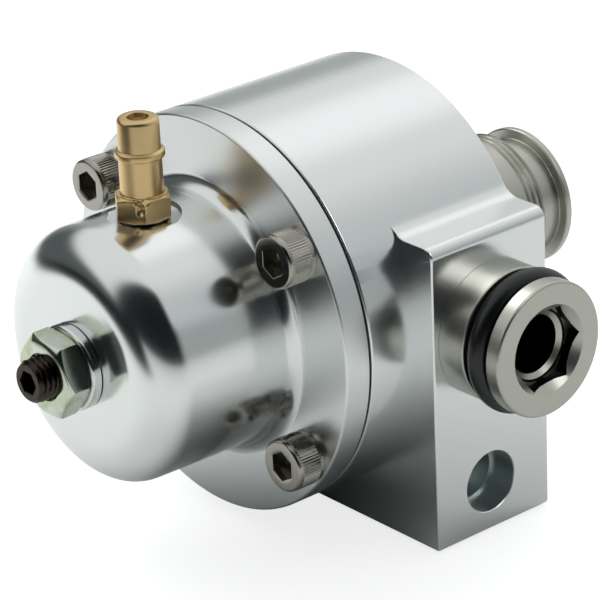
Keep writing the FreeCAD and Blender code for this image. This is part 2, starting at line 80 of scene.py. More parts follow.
def add_node(tree: bpy.types.NodeTree, kind: str, settings: dict | None = None,
             links: dict | None = None) -> bpy.types.Node:
    """Add one shader node.

    Args:
        tree: the node tree that gets the node.
        kind: the node's type name.
        settings: attributes by name, and constant inputs by socket name or number.
        links: for each input, the output socket that feeds it.

    Returns:
        The new node.
    """
    node = tree.nodes.new(kind)
    for key, value in (settings or {}).items():
        if isinstance(key, str) and hasattr(node, key):
            setattr(node, key, value)
        else:
            node.inputs[key].default_value = value
    for key, socket in (links or {}).items():
        tree.links.new(socket, node.inputs[key])
    return node


def blend(tree: bpy.types.NodeTree, share: bpy.types.NodeSocket,
          low: bpy.types.NodeSocket | str,
          high: bpy.types.NodeSocket | str) -> bpy.types.NodeSocket:
    """Mix two colours, each a socket or a hex code.

    Args:
        tree: the node tree.
        share: the socket that runs from 0 at the first colour to 1 at the second.
        low: the first colour.
        high: the second colour.

    Returns:
        The socket of the mixed colour.
    """
    mix = add_node(tree, "ShaderNodeMix", {"data_type": "RGBA"}, {MIX_SHARE: share})
    for place, colour in zip(MIX_COLOURS, (low, high)):
        if isinstance(colour, str):
            mix.inputs[place].default_value = linear(colour)
        else:
            tree.links.new(colour, mix.inputs[place])
    return mix.outputs[MIXED_COLOUR]


def step(tree: bpy.types.NodeTree, value: bpy.types.NodeSocket, start: float,
         end: float) -> bpy.types.NodeSocket:
    """A smooth step of a value, from 0 at start to 1 at end."""
    return add_node(tree, "ShaderNodeMapRange", {
        "interpolation_type": "SMOOTHSTEP", "From Min": start, "From Max": end},
        {"Value": value}).outputs[0]


def product(tree: bpy.types.NodeTree, one: bpy.types.NodeSocket,
            other: bpy.types.NodeSocket) -> bpy.types.NodeSocket:
    """One value times another."""
    return add_node(tree, "ShaderNodeMath", {"operation": "MULTIPLY"},
                    {0: one, 1: other}).outputs[0]


def facing(tree: bpy.types.NodeTree, way: bpy.types.NodeSocket,
           target: tuple[float, float, float] | Vector) -> bpy.types.NodeSocket:
    """The dot product of a direction with a fixed one.

    Args:
        tree: the node tree.
        way: the socket of the direction.
        target: the fixed direction.

    Returns:
        The socket of the product.
    """
    dot = add_node(tree, "ShaderNodeVectorMath", {"operation": "DOT_PRODUCT"}, {0: way})
    dot.inputs[1].default_value = target
    return dot.outputs["Value"]


def by_viewer(tree: bpy.types.NodeTree, others: bpy.types.Node,
              camera: bpy.types.Node) -> bpy.types.NodeSocket:
    """One shader for the camera's own rays, and another for all the others."""
    ray = add_node(tree, "ShaderNodeLightPath")
    return add_node(tree, "ShaderNodeMixShader", {}, {
        0: ray.outputs["Is Camera Ray"], 1: others.outputs[0], 2: camera.outputs[0]}).outputs[0]


@dataclass(frozen=True)
class Lathe:
    """An axis that a piece is turned about, as an origin and three unit directions."""

    origin: tuple[float, float, float]
    along: tuple[float, float, float]
    cosine: tuple[float, float, float]
    sine: tuple[float, float, float]

    def place(self, radius: np.ndarray, along: np.ndarray, angle: np.ndarray) -> np.ndarray:
        """Put cylinder coordinates into the part's frame.

        The point is origin + along * a + radius * (cos t * cosine + sin t * sine).

        Args:
            radius: distances from the axis, rows by columns.
            along: distances along the axis, rows by columns.
            angle: angles about the axis in radians, one per column.

        Returns:
            Points in millimetres, rows by columns by three.
        """
        turn = np.cos(angle)[None, :, None] * np.array(self.cosine)
        turn = turn + np.sin(angle)[None, :, None] * np.array(self.sine)
        points = np.array(self.origin) + along[..., None] * np.array(self.along)
        return points + radius[..., None] * turn


# Sizes and places that several pieces share
AXIS_HEIGHT = 31.8
BLOCK_REACH = 33.25
BLOCK_HALF_DEPTH = 11.15
BODY_RADIUS = 30.15
FLANGE_FRONT = -24.75
FLANGE_BACK = -20.5
BODY_FRONT = -20.0
BELL_FRONT = -49.25
CLAMP_RADIUS = 20.0
SCREW_CIRCLE_RADIUS = 26.1
SCREW_ANGLE = math.radians(37)
CUTTER_REACH = 1.0
HOLLOW_COLUMNS = 96

# The axes that the pieces are turned about
MAIN = Lathe((0, 0, AXIS_HEIGHT), (0, 1, 0), (1, 0, 0), (0, 0, 1))
SIDE = Lathe((BLOCK_REACH, 0, AXIS_HEIGHT + 0.4), (1, 0, 0), (0, 1, 0), (0, 0, 1))
REAR = Lathe((0, BLOCK_HALF_DEPTH, AXIS_HEIGHT), (0, 1, 0), (1, 0, 0), (0, 0, 1))
GAUGE = Lathe((BLOCK_REACH, -0.5, 7.6), (1, 0, 0), (0, 1, 0), (0, 0, 1))
NIPPLE = Lathe((0, -35.4, AXIS_HEIGHT + 18.5), (0, 0, 1), (1, 0, 0), (0, 1, 0))


def even_angles(count: int) -> np.ndarray:
    """Evenly spaced angles round a whole turn."""
    return np.arange(count) * (WHOLE_TURN / count)


def hexagon_radius(flats: float, angle: np.ndarray, corner_deg: float) -> np.ndarray:
    """Radius of a hexagon at each angle.

    Half the width over the flats, divided by the cosine of the angle from the nearest flat's
    middle.

    Args:
        flats: width over the flats.
        angle: angles in radians.
        corner_deg: the angle of one corner, in degrees.

    Returns:
        One radius per angle.
    """
    from_middle = np.mod(angle - math.radians(corner_deg), math.pi / 3) - math.pi / 6
    return flats / 2 / np.cos(from_middle)


def eased(corners: list[tuple[float, ...]], steps: int = 4) -> np.ndarray:
    """Round the corners of an open profile.

    A corner (radius, along, ease) becomes an arc of radius ease that touches both of its sides:
    its centre lies ease away from the incoming side, and it starts ease * tan(half the turn)
    before the corner. A corner without an ease stays sharp.

    Args:
        corners: (radius, along) or (radius, along, ease).
        steps: how many chords an arc gets.

    Returns:
        Profile points, one row of (radius, along) each.
    """
    points = [np.array(corners[0][:2], float)]
    for before, corner, after in zip(corners, corners[1:], corners[2:]):
        here = np.array(corner[:2], float)
        if len(corner) < 3:
            points.append(here)
            continue
        came = here - np.array(before[:2], float)
        goes = np.array(after[:2], float) - here
        came, goes = came / np.linalg.norm(came), goes / np.linalg.norm(goes)
        cross = came[0] * goes[1] - came[1] * goes[0]
        turn = math.atan2(abs(cross), float(came @ goes))
        normal = np.array([-came[1], came[0]]) * (1 if cross > 0 else -1)
        ease = corner[2]
        start = here - came * ease * math.tan(turn / 2)
        swing = np.linspace(0, turn, steps + 1)[:, None]
        arc = start + normal * ease * (1 - np.cos(swing)) + came * ease * np.sin(swing)
        points.extend(arc)
    points.append(np.array(corners[-1][:2], float))
    return np.array(points)


def turned_grid(lathe: Lathe, profile: np.ndarray, columns: int) -> np.ndarray:
    """Carry a profile round a lathe's axis, as a grid of points."""
    ones = np.ones(columns)
    return lathe.place(profile[:, :1] * ones, profile[:, 1:] * ones, even_angles(columns))


def grid_from_rows(lathe: Lathe, rows: list[tuple], angle: np.ndarray) -> np.ndarray:
    """Carry rows about a lathe's axis, as a grid of points.

    Args:
        lathe: the axis.
        rows: (radius, along), each a number or one value per angle.
        angle: the columns' angles in radians.

    Returns:
        Points in millimetres, rows by columns by three.
    """
    ones = np.ones_like(angle)
    radius, along = (np.array([row[k] * ones for row in rows]) for k in (0, 1))
    return lathe.place(radius, along, angle)


def make_piece(name: str, grid: np.ndarray, closed_rows: bool = False) -> bpy.types.Object:
    """Join a grid of points into a closed, smooth-shaded piece.

    Face (i, j) joins points (i, j), (i, j+1), (i+1, j+1) and (i+1, j). Columns always meet
    round the back, and rows do too if asked. Points that fall together are merged, so rows on
    the axis become poles.

    Args:
        name: the piece's name.
        grid: points in millimetres, rows by columns by three.
        closed_rows: whether the last row joins the first.

    Returns:
        The new object.
    """
    rows, columns = grid.shape[:2]
    index = np.arange(rows * columns).reshape(rows, columns)
    low = index if closed_rows else index[:-1]
    high = np.roll(index, -1, axis=0) if closed_rows else index[1:]
    quads = np.stack([low, np.roll(low, -1, axis=1), np.roll(high, -1, axis=1), high], axis=-1)
    mesh = bpy.data.meshes.new(name)
    mesh.from_pydata((grid.reshape(-1, 3) * MM).tolist(), [], quads.reshape(-1, 4).tolist())
    piece = bpy.data.objects.new(name, mesh)
    bpy.context.scene.collection.objects.link(piece)
    tidy_mesh(piece)
    return piece


def tidy_mesh(piece: bpy.types.Object) -> None:
    """Merge doubled points, turn faces outwards and shade smooth between sharp edges.

    Args:
        piece: the piece, whose mesh is changed.
    """
    shape = bmesh.new()
    shape.from_mesh(piece.data)
    bmesh.ops.remove_doubles(shape, verts=shape.verts, dist=MERGE_GAP)
    bmesh.ops.dissolve_degenerate(shape, edges=shape.edges, dist=MERGE_GAP)
    bmesh.ops.recalc_face_normals(shape, faces=shape.faces)
    shape.to_mesh(piece.data)
    shape.free()
    piece.data.shade_smooth()
    piece.data.set_sharp_from_angle(angle=SHARP_ANGLE)


def even_shading(piece: bpy.types.Object) -> None:
    """Let large faces decide the shading beside small eased edges.

    Args:
        piece: the piece, which gets a modifier.
    """
    weigh = piece.modifiers.new("even shading", "WEIGHTED_NORMAL")
    weigh.keep_sharp = True
    weigh.weight = FLAT_PREFERENCE


def carve(piece: bpy.types.Object, cutters: list[bpy.types.Object]) -> None:
    """Cut other closed pieces out of a piece and remove them from the scene.

    Args:
        piece: the piece to cut, which keeps its cutters' materials in the cuts.
        cutters: the pieces to cut with.
    """
    for cutter in cutters:
        cut = piece.modifiers.new("cut", "BOOLEAN")
        cut.operation = "DIFFERENCE"
        cut.solver = "EXACT"
        cut.material_mode = "TRANSFER"
        cut.object = cutter
    result = piece.evaluated_get(bpy.context.evaluated_depsgraph_get())
    carved = bpy.data.meshes.new_from_object(result)
    piece.modifiers.clear()
    piece.data = carved
    for cutter in cutters:
        bpy.data.objects.remove(cutter)
    tidy_mesh(piece)


def settle(piece: bpy.types.Object, body: str, nodes: list[str],
           material: bpy.types.Material | None = None) -> bpy.types.Object:
    """Dress a finished piece and tie it to the CAD model.

    Args:
        piece: the finished piece.
        body: the CAD body that it rides on.
        nodes: the CAD nodes that it stands for.
        material: its finish, if it doesn't have one yet.

    Returns:
        The same piece.
    """
    even_shading(piece)
    if material:
        piece.data.materials.append(material)
    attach(piece, body)
    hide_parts(*nodes)
    log.info("%s: %d faces, for %s", piece.name, len(piece.data.polygons), ", ".join(nodes))
    return piece


# Finishes

class Lay(Enum):
    """How the marks of machining lie on a surface."""

    NONE = "none"
    TURNED = "turned"


@dataclass(frozen=True)
class MetalFinish:
    """A metal surface: its colour, its polish, and the marks that its making left.

    line_mm is the spacing of the turning lines, drawn as coarse as the picture needs to show
    them, and line_height_um how deep they are. cloud is how far the polish wanders from place
    to place over cloud_mm. Past rim_mm from the axis it fades over rim_fade_mm to
    rim_roughness. A stain shows in patches of stain_mm, where the noise lies in stain_range.
    """

    name: str
    colour: str
    roughness: float
    lay: Lay = Lay.NONE
    line_mm: float = 0.35
    line_height_um: float = 1.0
    cloud: float = 0.0
    cloud_mm: float = 6.0
    rim_roughness: float = 0.0
    rim_mm: float = 0.0
    rim_fade_mm: float = 1.2
    stain: str = ""
    stain_mm: float = 2.0
    stain_range: tuple[float, float] = (0.4, 0.65)
    smoothest: ClassVar[float] = 0.02

    def material(self, lathe: Lathe = MAIN, place: str = "") -> bpy.types.Material:
        """Build the finish for pieces turned about one axis.

        Args:
            lathe: the axis that the turning lines run round.
            place: a word added to the name where a finish has several axes.

        Returns:
            The new material.
        """
        paint = bpy.data.materials.new(" ".join(filter(None, (self.name, place))))
        paint.use_nodes = True
        tree = paint.node_tree
        tree.nodes.clear()
        shader = add_node(tree, "ShaderNodeBsdfPrincipled", {
            "Base Color": linear(self.colour), "Metallic": 1.0, "Roughness": self.roughness})
        add_node(tree, "ShaderNodeOutputMaterial", {}, {"Surface": shader.outputs[0]})
        place_of = add_node(tree, "ShaderNodeTexCoord").outputs["Object"]
        if self.cloud:
            tree.links.new(self.polish(tree, place_of, lathe), shader.inputs["Roughness"])
        if self.stain:
            tree.links.new(self.stained(tree, place_of), shader.inputs["Base Color"])
        if self.lay is Lay.TURNED:
            tree.links.new(self.turning_lines(tree, place_of, lathe), shader.inputs["Normal"])
        return paint

    @staticmethod
    def noise(tree: bpy.types.NodeTree, place_of: bpy.types.NodeSocket, size_mm: float,
              detail: float) -> bpy.types.NodeSocket:
        """Noise whose patches are about size_mm wide."""
        return add_node(tree, "ShaderNodeTexNoise", {"Scale": 1 / (size_mm * MM), "Detail": detail},
                        {"Vector": place_of}).outputs["Fac"]

    def polish(self, tree: bpy.types.NodeTree, place_of: bpy.types.NodeSocket,
               lathe: Lathe) -> bpy.types.NodeSocket:
        """The roughness from place to place.

        Args:
            tree: the material's node tree.
            place_of: the socket of object coordinates.
            lathe: the axis that the rim is measured from.

        Returns:
            The socket of the roughness.
        """
        rough = add_node(tree, "ShaderNodeMapRange", {
            "To Min": max(self.roughness - self.cloud, self.smoothest),
            "To Max": self.roughness + self.cloud},
            {"Value": self.noise(tree, place_of, self.cloud_mm, 3.0)}).outputs[0]
        if not self.rim_mm:
            return rough
        radius, _ = self.polar(tree, place_of, lathe)
        past = add_node(tree, "ShaderNodeMapRange", {
            "From Min": self.rim_mm * MM, "From Max": (self.rim_mm + self.rim_fade_mm) * MM},
            {"Value": radius})
        within, beyond = MIX_NUMBERS
        return add_node(tree, "ShaderNodeMix", {"data_type": "FLOAT", beyond: self.rim_roughness},
                        {MIX_SHARE: past.outputs[0], within: rough}).outputs[0]

    def stained(self, tree: bpy.types.NodeTree,
                place_of: bpy.types.NodeSocket) -> bpy.types.NodeSocket:
        """The colour, with patches of the stain's.

        Args:
            tree: the material's node tree.
            place_of: the socket of object coordinates.

        Returns:
            The socket of the colour.
        """
        low, high = self.stain_range
        share = add_node(tree, "ShaderNodeMapRange", {"From Min": low, "From Max": high},
                         {"Value": self.noise(tree, place_of, self.stain_mm, 2.0)})
        return blend(tree, share.outputs[0], self.colour, self.stain)

    def turning_lines(self, tree: bpy.types.NodeTree, place_of: bpy.types.NodeSocket,
                      lathe: Lathe) -> bpy.types.NodeSocket:
        """Fine grooves round an axis.

        The height is noise over two numbers only, the distance from the axis and the distance
        along it, so every groove closes on itself.

        Args:
            tree: the material's node tree.
            place_of: the socket of object coordinates.
            lathe: the axis.

        Returns:
            The socket of the bent normal.
        """
        radius, along = self.polar(tree, place_of, lathe)
        pair = add_node(tree, "ShaderNodeCombineXYZ", {}, {"X": radius, "Y": along})
        grooves = self.noise(tree, pair.outputs[0], self.line_mm, 2.0)
        bump = add_node(tree, "ShaderNodeBump", {
            "Strength": 1.0, "Distance": self.line_height_um * MICRON}, {"Height": grooves})
        return bump.outputs["Normal"]

    @staticmethod
    def polar(tree: bpy.types.NodeTree, place_of: bpy.types.NodeSocket,
              lathe: Lathe) -> tuple[bpy.types.NodeSocket, bpy.types.NodeSocket]:
        """Distance from an axis and distance along it, as sockets in metres.

        Args:
            tree: the material's node tree.
            place_of: the socket of object coordinates.
            lathe: the axis.

        Returns:
            The sockets of the radius and of the distance along.
        """
        centred = add_node(tree, "ShaderNodeVectorMath", {"operation": "SUBTRACT"}, {0: place_of})
        centred.inputs[1].default_value = [v * MM for v in lathe.origin]
        along = facing(tree, centred.outputs[0], lathe.along)
        flat = add_node(tree, "ShaderNodeVectorMath", {"operation": "MULTIPLY"},
                        {0: centred.outputs[0]})
        flat.inputs[1].default_value = [1 - abs(v) for v in lathe.along]
        radius = add_node(tree, "ShaderNodeVectorMath", {"operation": "LENGTH"},
                          {0: flat.outputs[0]})
        return radius.outputs["Value"], along


@dataclass(frozen=True)
class RubberFinish:
    """Moulded rubber: a soft sheen over a nearly black body."""

    name: str
    colour: str
    roughness: float
    ior: float = 1.52

    def material(self) -> bpy.types.Material:
        """Build the finish.

        Returns:
            The new material.
        """
        paint = bpy.data.materials.new(self.name)
        paint.use_nodes = True
        shader = paint.node_tree.nodes["Principled BSDF"]
        shader.inputs["Base Color"].default_value = linear(self.colour)
        shader.inputs["Roughness"].default_value = self.roughness
        shader.inputs["IOR"].default_value = self.ior
        return paint


# Clear anodised over fine turning: pale, with soft but readable reflections
CLEAR_ANODISED = MetalFinish("clear anodised aluminium", "#E6E8E8", 0.21, Lay.TURNED,
                             line_mm=0.5, line_height_um=0.8, cloud=0.03, cloud_mm=9.0)
# Drilled and tapped holes: the same metal left rough by the tools, so it looks dark
DRILLED_ALUMINIUM = MetalFinish("drilled aluminium", "#DCE4E4", 0.36, cloud=0.1, cloud_mm=1.5)
# Buffed with a mop: the bell mirrors the room with a faint haze, its flange more softly
BUFFED_ALUMINIUM = MetalFinish("buffed aluminium", "#E6E8E8", 0.18, cloud=0.02, cloud_mm=11.0,
                               rim_roughness=0.3, rim_mm=20.6)
# Bare turned stainless: warm grey, soft highlights that spread across the lathe lines
TURNED_STAINLESS = MetalFinish("turned stainless steel", "#BAB9B1", 0.32, Lay.TURNED,
                               line_mm=0.3, line_height_um=1.2, cloud=0.03, cloud_mm=5.0)
# The broached flats and the bore of the spigots: rough, and painted nearly black for the shade
# inside the socket
SOCKET_SHADE_STAINLESS = MetalFinish("broached stainless steel", "#232422", 0.36)
# Cold-headed stainless screws: brighter and smoother than the turned pieces
HEADED_STAINLESS = MetalFinish("headed stainless steel", "#A8A49C", 0.22, cloud=0.03, cloud_mm=2.0)
# Black oxide with oil: near black with a brown cast
BLACK_OXIDE = MetalFinish("black oxide steel", "#3F3833", 0.24, cloud=0.05, cloud_mm=1.5)
# Zinc plate with a yellow-green passivate that pools in patches
YELLOW_ZINC = MetalFinish("yellow passivated zinc", "#CED4CA", 0.16, cloud=0.03, cloud_mm=4.0,
                          stain="#B8BFA0", stain_mm=2.4)
# Bright zinc on the washer
BRIGHT_ZINC = MetalFinish("bright zinc plate", "#DCDDDD", 0.12, cloud=0.02, cloud_mm=2.0)
# Turned brass, slightly dulled by handling
TURNED_BRASS = MetalFinish("turned brass", "#DEC08C", 0.33, Lay.TURNED,
                           line_mm=0.25, line_height_um=1.0, cloud=0.04, cloud_mm=2.5)
# Oil-tempered spring wire: a dull grey, even sheen
SPRING_WIRE = MetalFinish("oil tempered spring wire", "#8E8E90", 0.3)
# Moulded O-rings and seals: black with a soft sheen
NITRILE = RubberFinish("black nitrile rubber", "#0B0E10", 0.33)
# The diaphragm's rubbered cloth: matt, and greyer than the seals
DIAPHRAGM_CLOTH = RubberFinish("rubbered diaphragm cloth", "#34393B", 0.6)


# Sub-assemblies

@dataclass
class BilletBody:
    """The billet body: a turned barrel with a square port block under its right side.

    The block is side wide and high, and its flats run into the barrel by arcs of radius blend.
    A passage, the gauge's thread and its bore are each a radius and the depth where it ends.
    """

    side: float = 47.2
    blend: float = 4.0
    corner: float = 1.7
    edge: float = 0.3
    chord_mm: float = 1.2
    least_gap_mm: float = 0.004
    clamp_radius: float = CLAMP_RADIUS
    clamp_floor: float = -16.0
    chamber_radius: float = 13.5
    chamber_end: float = 1.6
    port_radius: float = 8.03
    port_mouth: float = 9.9
    mouth_depth: float = 1.3
    side_depth: float = 11.0
    side_passage: tuple[float, float] = (3.9, 21.2)
    rear_depth: float = 7.0
    rear_passage: tuple[float, float] = (3.22, 10.0)
    gauge_mouth: float = 5.84
    gauge_thread: tuple[float, float] = (4.72, 4.8)
    gauge_bore: tuple[float, float] = (4.3, 14.0)
    gauge_point: float = 16.6

    def outline(self) -> tuple[np.ndarray, np.ndarray]:
        """The outline of barrel and block together, seen along the main axis.

        It is a chain of arcs and straight runs: the barrel's circle, the concave blend and the
        foot at the left, the base, the right face, its rounded corner, the top, and the concave
        blend back into the circle.

        Returns:
            Angles from +X towards +Z, rising, and the radius at each.
        """
        top, left = self.side - AXIS_HEIGHT, self.side - BLOCK_REACH
        foot = self.blend_centre(left)[::-1] * -1
        head = self.blend_centre(top)
        head_start = math.atan2(-head[1], -head[0])
        foot_end = math.atan2(-foot[1], -foot[0])
        right_corner = (BLOCK_REACH - self.corner, top - self.corner)
        low = -AXIS_HEIGHT + self.edge
        barrel_start = math.atan2(head[1], head[0])
        barrel_end = math.atan2(foot[1], foot[0]) + WHOLE_TURN
        runs = [
            self.arc((0, 0), BODY_RADIUS, barrel_start, barrel_end),
            self.arc(foot, self.blend, foot_end, 0),
            self.arc((-left + self.edge, low), self.edge, math.pi, 1.5 * math.pi),
            self.arc((BLOCK_REACH - self.edge, low), self.edge, 1.5 * math.pi, WHOLE_TURN),
            self.arc(right_corner, self.corner, 0, math.pi / 2),
            self.arc(head, self.blend, -math.pi / 2, head_start),
        ]
        chain = np.vstack(runs)
        closed = np.vstack([chain, chain[:1]])
        gaps = np.linalg.norm(np.diff(closed, axis=0), axis=1)
        travel = np.concatenate([[0], np.cumsum(gaps)])
        extra = np.arange(0, travel[-1], self.chord_mm)
        stops = np.union1d(travel[:-1], extra)
        stops = stops[np.concatenate([[True], np.diff(stops) > self.least_gap_mm])]
        points = np.stack([np.interp(stops, travel, closed[:, k]) for k in (0, 1)], axis=1)
        angle = np.unwrap(np.arctan2(points[:, 1], points[:, 0]))
        return angle, np.linalg.norm(points, axis=1)

    def blend_centre(self, flat: float) -> np.ndarray:
        """Centre of the concave blend over a flat that lies that far from the axis."""
        reach = math.sqrt((BODY_RADIUS + self.blend) ** 2 - (flat + self.blend) ** 2)
        return np.array([reach, flat + self.blend])

    @staticmethod
    def arc(centre: tuple[float, float], radius: float, start: float, end: float) -> np.ndarray:
        """Points of an arc, about every two degrees."""
        swing = np.linspace(start, end, max(4, int(abs(end - start) / math.radians(2)) + 1))
        return np.array(centre) + radius * np.stack([np.cos(swing), np.sin(swing)], axis=1)

    def grid(self) -> np.ndarray:
        """The body's skin.

        Each column is a half-plane through the main axis. Its rows climb the barrel's front
        edge, run back along the barrel, step out along the block's front to the outline, run
        back along it and close over the rear face. Where the outline is the barrel's own
        circle, the step has no height and its rows merge.

        Returns:
            Points in millimetres, rows by columns by three.
        """
        angle, outer = self.outline()
        ease = np.clip((outer - BODY_RADIUS) / 2, 0, self.edge)
        swing = np.linspace(0, math.pi / 2, 5)
        rows = [(0, BODY_FRONT)]
        rows += [(BODY_RADIUS - self.edge * (1 - math.sin(s)),
                  BODY_FRONT + self.edge * (1 - math.cos(s))) for s in swing]
        rows += [(BODY_RADIUS, (BODY_FRONT - BLOCK_HALF_DEPTH) / 2),
                 (BODY_RADIUS, -BLOCK_HALF_DEPTH)]
        rows += [(outer - ease * (1 - math.sin(s)), -BLOCK_HALF_DEPTH + ease * (1 - math.cos(s)))
                 for s in swing]
        rows += [(outer, 0)]
        rows += [(outer - self.edge * (1 - math.cos(s)),
                  BLOCK_HALF_DEPTH - self.edge * (1 - math.sin(s))) for s in swing]
        rows += [(0, BLOCK_HALF_DEPTH)]
        return grid_from_rows(MAIN, rows, angle)

    @staticmethod
    def hollow(name: str, lathe: Lathe, corners: list[tuple[float, ...]]) -> bpy.types.Object:
        """A turned cutter for one of the body's hollows.

        Args:
            name: the cutter's name.
            lathe: the hollow's axis.
            corners: the profile, as eased takes it.

        Returns:
            The cutter, in the rough metal that it leaves.
        """
        cutter = make_piece(name, turned_grid(lathe, eased(corners), HOLLOW_COLUMNS))
        cutter.data.materials.append(bpy.data.materials[DRILLED_ALUMINIUM.name])
        return cutter

    def port(self, name: str, lathe: Lathe, depth: float,
             passage: tuple[float, float]) -> bpy.types.Object:
        """A spigot's port: its seal's counterbore, its thread's bore and a passage inwards.

        Args:
            name: the cutter's name.
            lathe: the port's axis.
            depth: how deep the thread's bore is.
            passage: the passage's radius and how deep it ends.

        Returns:
            The cutter.
        """
        mouth, bore, (inner, end) = self.port_mouth, self.port_radius, passage
        return self.hollow(name, lathe, [
            (0, CUTTER_REACH), (mouth, CUTTER_REACH), (mouth, -self.mouth_depth),
            (bore, -self.mouth_depth), (bore, -depth), (inner, -depth), (inner, -end), (0, -end)])

    def chamber(self) -> bpy.types.Object:
        """The diaphragm's seat and the chamber behind it."""
        front, clamp = BODY_FRONT - CUTTER_REACH, self.clamp_radius
        return self.hollow("chamber", MAIN, [
            (0, front), (clamp, front), (clamp, self.clamp_floor),
            (self.chamber_radius, self.clamp_floor), (self.chamber_radius, self.chamber_end),
            (0, self.chamber_end)])

    def gauge_port(self) -> bpy.types.Object:
        """The gauge's port: a countersink of 45 degrees, its thread, and a drilled bore."""
        (thread, thread_end), (bore, bore_end) = self.gauge_thread, self.gauge_bore
        return self.hollow("gauge_port", GAUGE, [
            (0, CUTTER_REACH), (self.gauge_mouth, CUTTER_REACH),
            (thread, CUTTER_REACH - self.gauge_mouth + thread), (thread, -thread_end),
            (bore, -thread_end), (bore, -bore_end), (0, -self.gauge_point)])

    def build(self) -> bpy.types.Object:
        """Make the skin, cut the chamber and the ports, and dress the body.

        Returns:
            The finished body.
        """
        piece = make_piece("billet_body", self.grid())
        piece.data.materials.append(CLEAR_ANODISED.material(MAIN))
        DRILLED_ALUMINIUM.material()
        carve(piece, [self.chamber(),
                      self.port("side_port", SIDE, self.side_depth, self.side_passage),
                      self.port("rear_port", REAR, self.rear_depth, self.rear_passage),
                      self.gauge_port()])
        return settle(piece, "housing", ["body"])


@dataclass
class BellCap:
    """The bell cap: a flange, a drawn-in bell with a soft front corner, and a spot face.

    The front corner is corner deep and corner_reach wide, and root is the arc where the bell
    meets its flange. Rows lie fine_mm apart and columns fine_deg apart over the spot face, so
    that its rim is clean, and further apart elsewhere.
    """

    screw_hole: float = 3.35
    radius: float = 19.1
    draft: float = 0.012
    corner: float = 5.6
    corner_reach: float = 7.4
    crown: float = 0.35
    root: float = 2.2
    spot_radius: float = 5.4
    spot_height: float = 18.5
    spot_snap: float = 0.06
    rim_ease: float = 0.35
    step_front: float = -23.1
    chamber_radius: float = 16.0
    chamber_ease: float = 4.0
    ceiling: float = -46.05
    boss_radius: float = 6.0
    boss_end: float = -44.25
    fine_mm: float = 0.1
    fine_wall_end: float = -29.6
    coarse_stride: int = 8
    fine_arc_deg: tuple[float, float] = (74.0, 106.0)
    fine_deg: float = 0.35
    coarse_deg: float = 1.5

    def outside(self) -> np.ndarray:
        """The bell's outside from the screw's hole to the flange's front.

        The front rises as a parabola to the corner, a quarter of an ellipse. The wall leans out
        by its draft to the root's arc, which lands on the flange. Rows lie closer over the spot
        face.

        Returns:
            Profile points, one row of (radius, along) each.
        """
        crown_edge = self.radius - self.corner_reach
        reach = np.linspace(self.screw_hole, crown_edge, 14)
        front = np.stack([reach, BELL_FRONT + self.crown * (reach / crown_edge) ** 2], axis=1)
        corner_along = BELL_FRONT + self.crown + self.corner
        swing = np.radians(np.linspace(-90, 0, 31))[1:]
        arc = np.stack([crown_edge + self.corner_reach * np.cos(swing),
                        corner_along + self.corner * np.sin(swing)], axis=1)
        root_along = FLANGE_FRONT - self.root
        foot = self.radius + self.draft * (root_along - corner_along)
        wall_along = np.arange(corner_along + self.fine_mm, root_along - self.fine_mm, self.fine_mm)
        lean = (wall_along - corner_along) / (root_along - corner_along)
        wall = np.stack([self.radius + (foot - self.radius) * lean, wall_along], axis=1)
        kept = np.arange(len(wall_along)) % self.coarse_stride == 0
        wall = wall[(wall_along < self.fine_wall_end) | kept]
        swing = np.radians(np.linspace(180, 90, 13))
        root = np.stack([foot + self.root + self.root * np.cos(swing),
                         root_along + self.root * np.sin(swing)], axis=1)
        return np.vstack([front, arc, wall, root])

    def inside(self, flange_edge: tuple[float, float]) -> np.ndarray:
        """The cap's rim, back face and hollow, from the flange's front back to the screw's hole."""
        chamber, boss = self.chamber_radius, self.boss_radius
        return eased([
            flange_edge, (BODY_RADIUS, FLANGE_FRONT, self.rim_ease),
            (BODY_RADIUS, FLANGE_BACK, 0.12), (CLAMP_RADIUS, FLANGE_BACK),
            (CLAMP_RADIUS, self.step_front), (chamber, self.step_front),
            (chamber, self.ceiling, self.chamber_ease), (boss, self.ceiling),
            (boss, self.boss_end), (self.screw_hole, self.boss_end)])

    def grid(self) -> np.ndarray:
        """The cap's skin.

        Points over the spot face, whose distance from the nipple's axis seen from above is
        less than its radius, drop to the face's height. Those just outside are drawn onto its
        rim, so that the rim is a clean circle.

        Returns:
            Points in millimetres, a closed ring of rows by columns by three.
        """
        outside = self.outside()
        profile = np.vstack([outside, self.inside(tuple(outside[-1]))[1:]])
        start, end = self.fine_arc_deg
        angle = np.radians(np.concatenate([np.arange(start, end, self.fine_deg),
                                           np.arange(end, start + 360, self.coarse_deg)]))
        ones = np.ones_like(angle)
        radius = profile[:, :1] * ones
        points = MAIN.place(radius, profile[:, 1:] * ones, angle)
        self.sink_spot(points[:len(outside)], radius[:len(outside)])
        return points

    def sink_spot(self, skin: np.ndarray, radius: np.ndarray) -> None:
        """Press the flat round spot face into the top of the bell's outside rows, in place.

        Args:
            skin: the outside rows' points.
            radius: their distances from the main axis.
        """
        across = skin[..., 0] - NIPPLE.origin[0]
        back = skin[..., 1] - NIPPLE.origin[1]
        away = np.hypot(across, back)
        over = skin[..., 2] > AXIS_HEIGHT + 10
        rim = over & (np.abs(away - self.spot_radius) < self.spot_snap)
        pull = np.where(rim, self.spot_radius / np.maximum(away, 1e-9), 1.0)
        skin[..., 0] = NIPPLE.origin[0] + across * pull
        skin[..., 1] = NIPPLE.origin[1] + back * pull
        height = np.sqrt(np.maximum(radius ** 2 - skin[..., 0] ** 2, 0)) + AXIS_HEIGHT
        skin[..., 2] = np.where(rim, height, skin[..., 2])
        inside = over & (away < self.spot_radius - self.spot_snap)
        skin[..., 2] = np.where(inside, np.minimum(skin[..., 2], AXIS_HEIGHT + self.spot_height),
                                skin[..., 2])

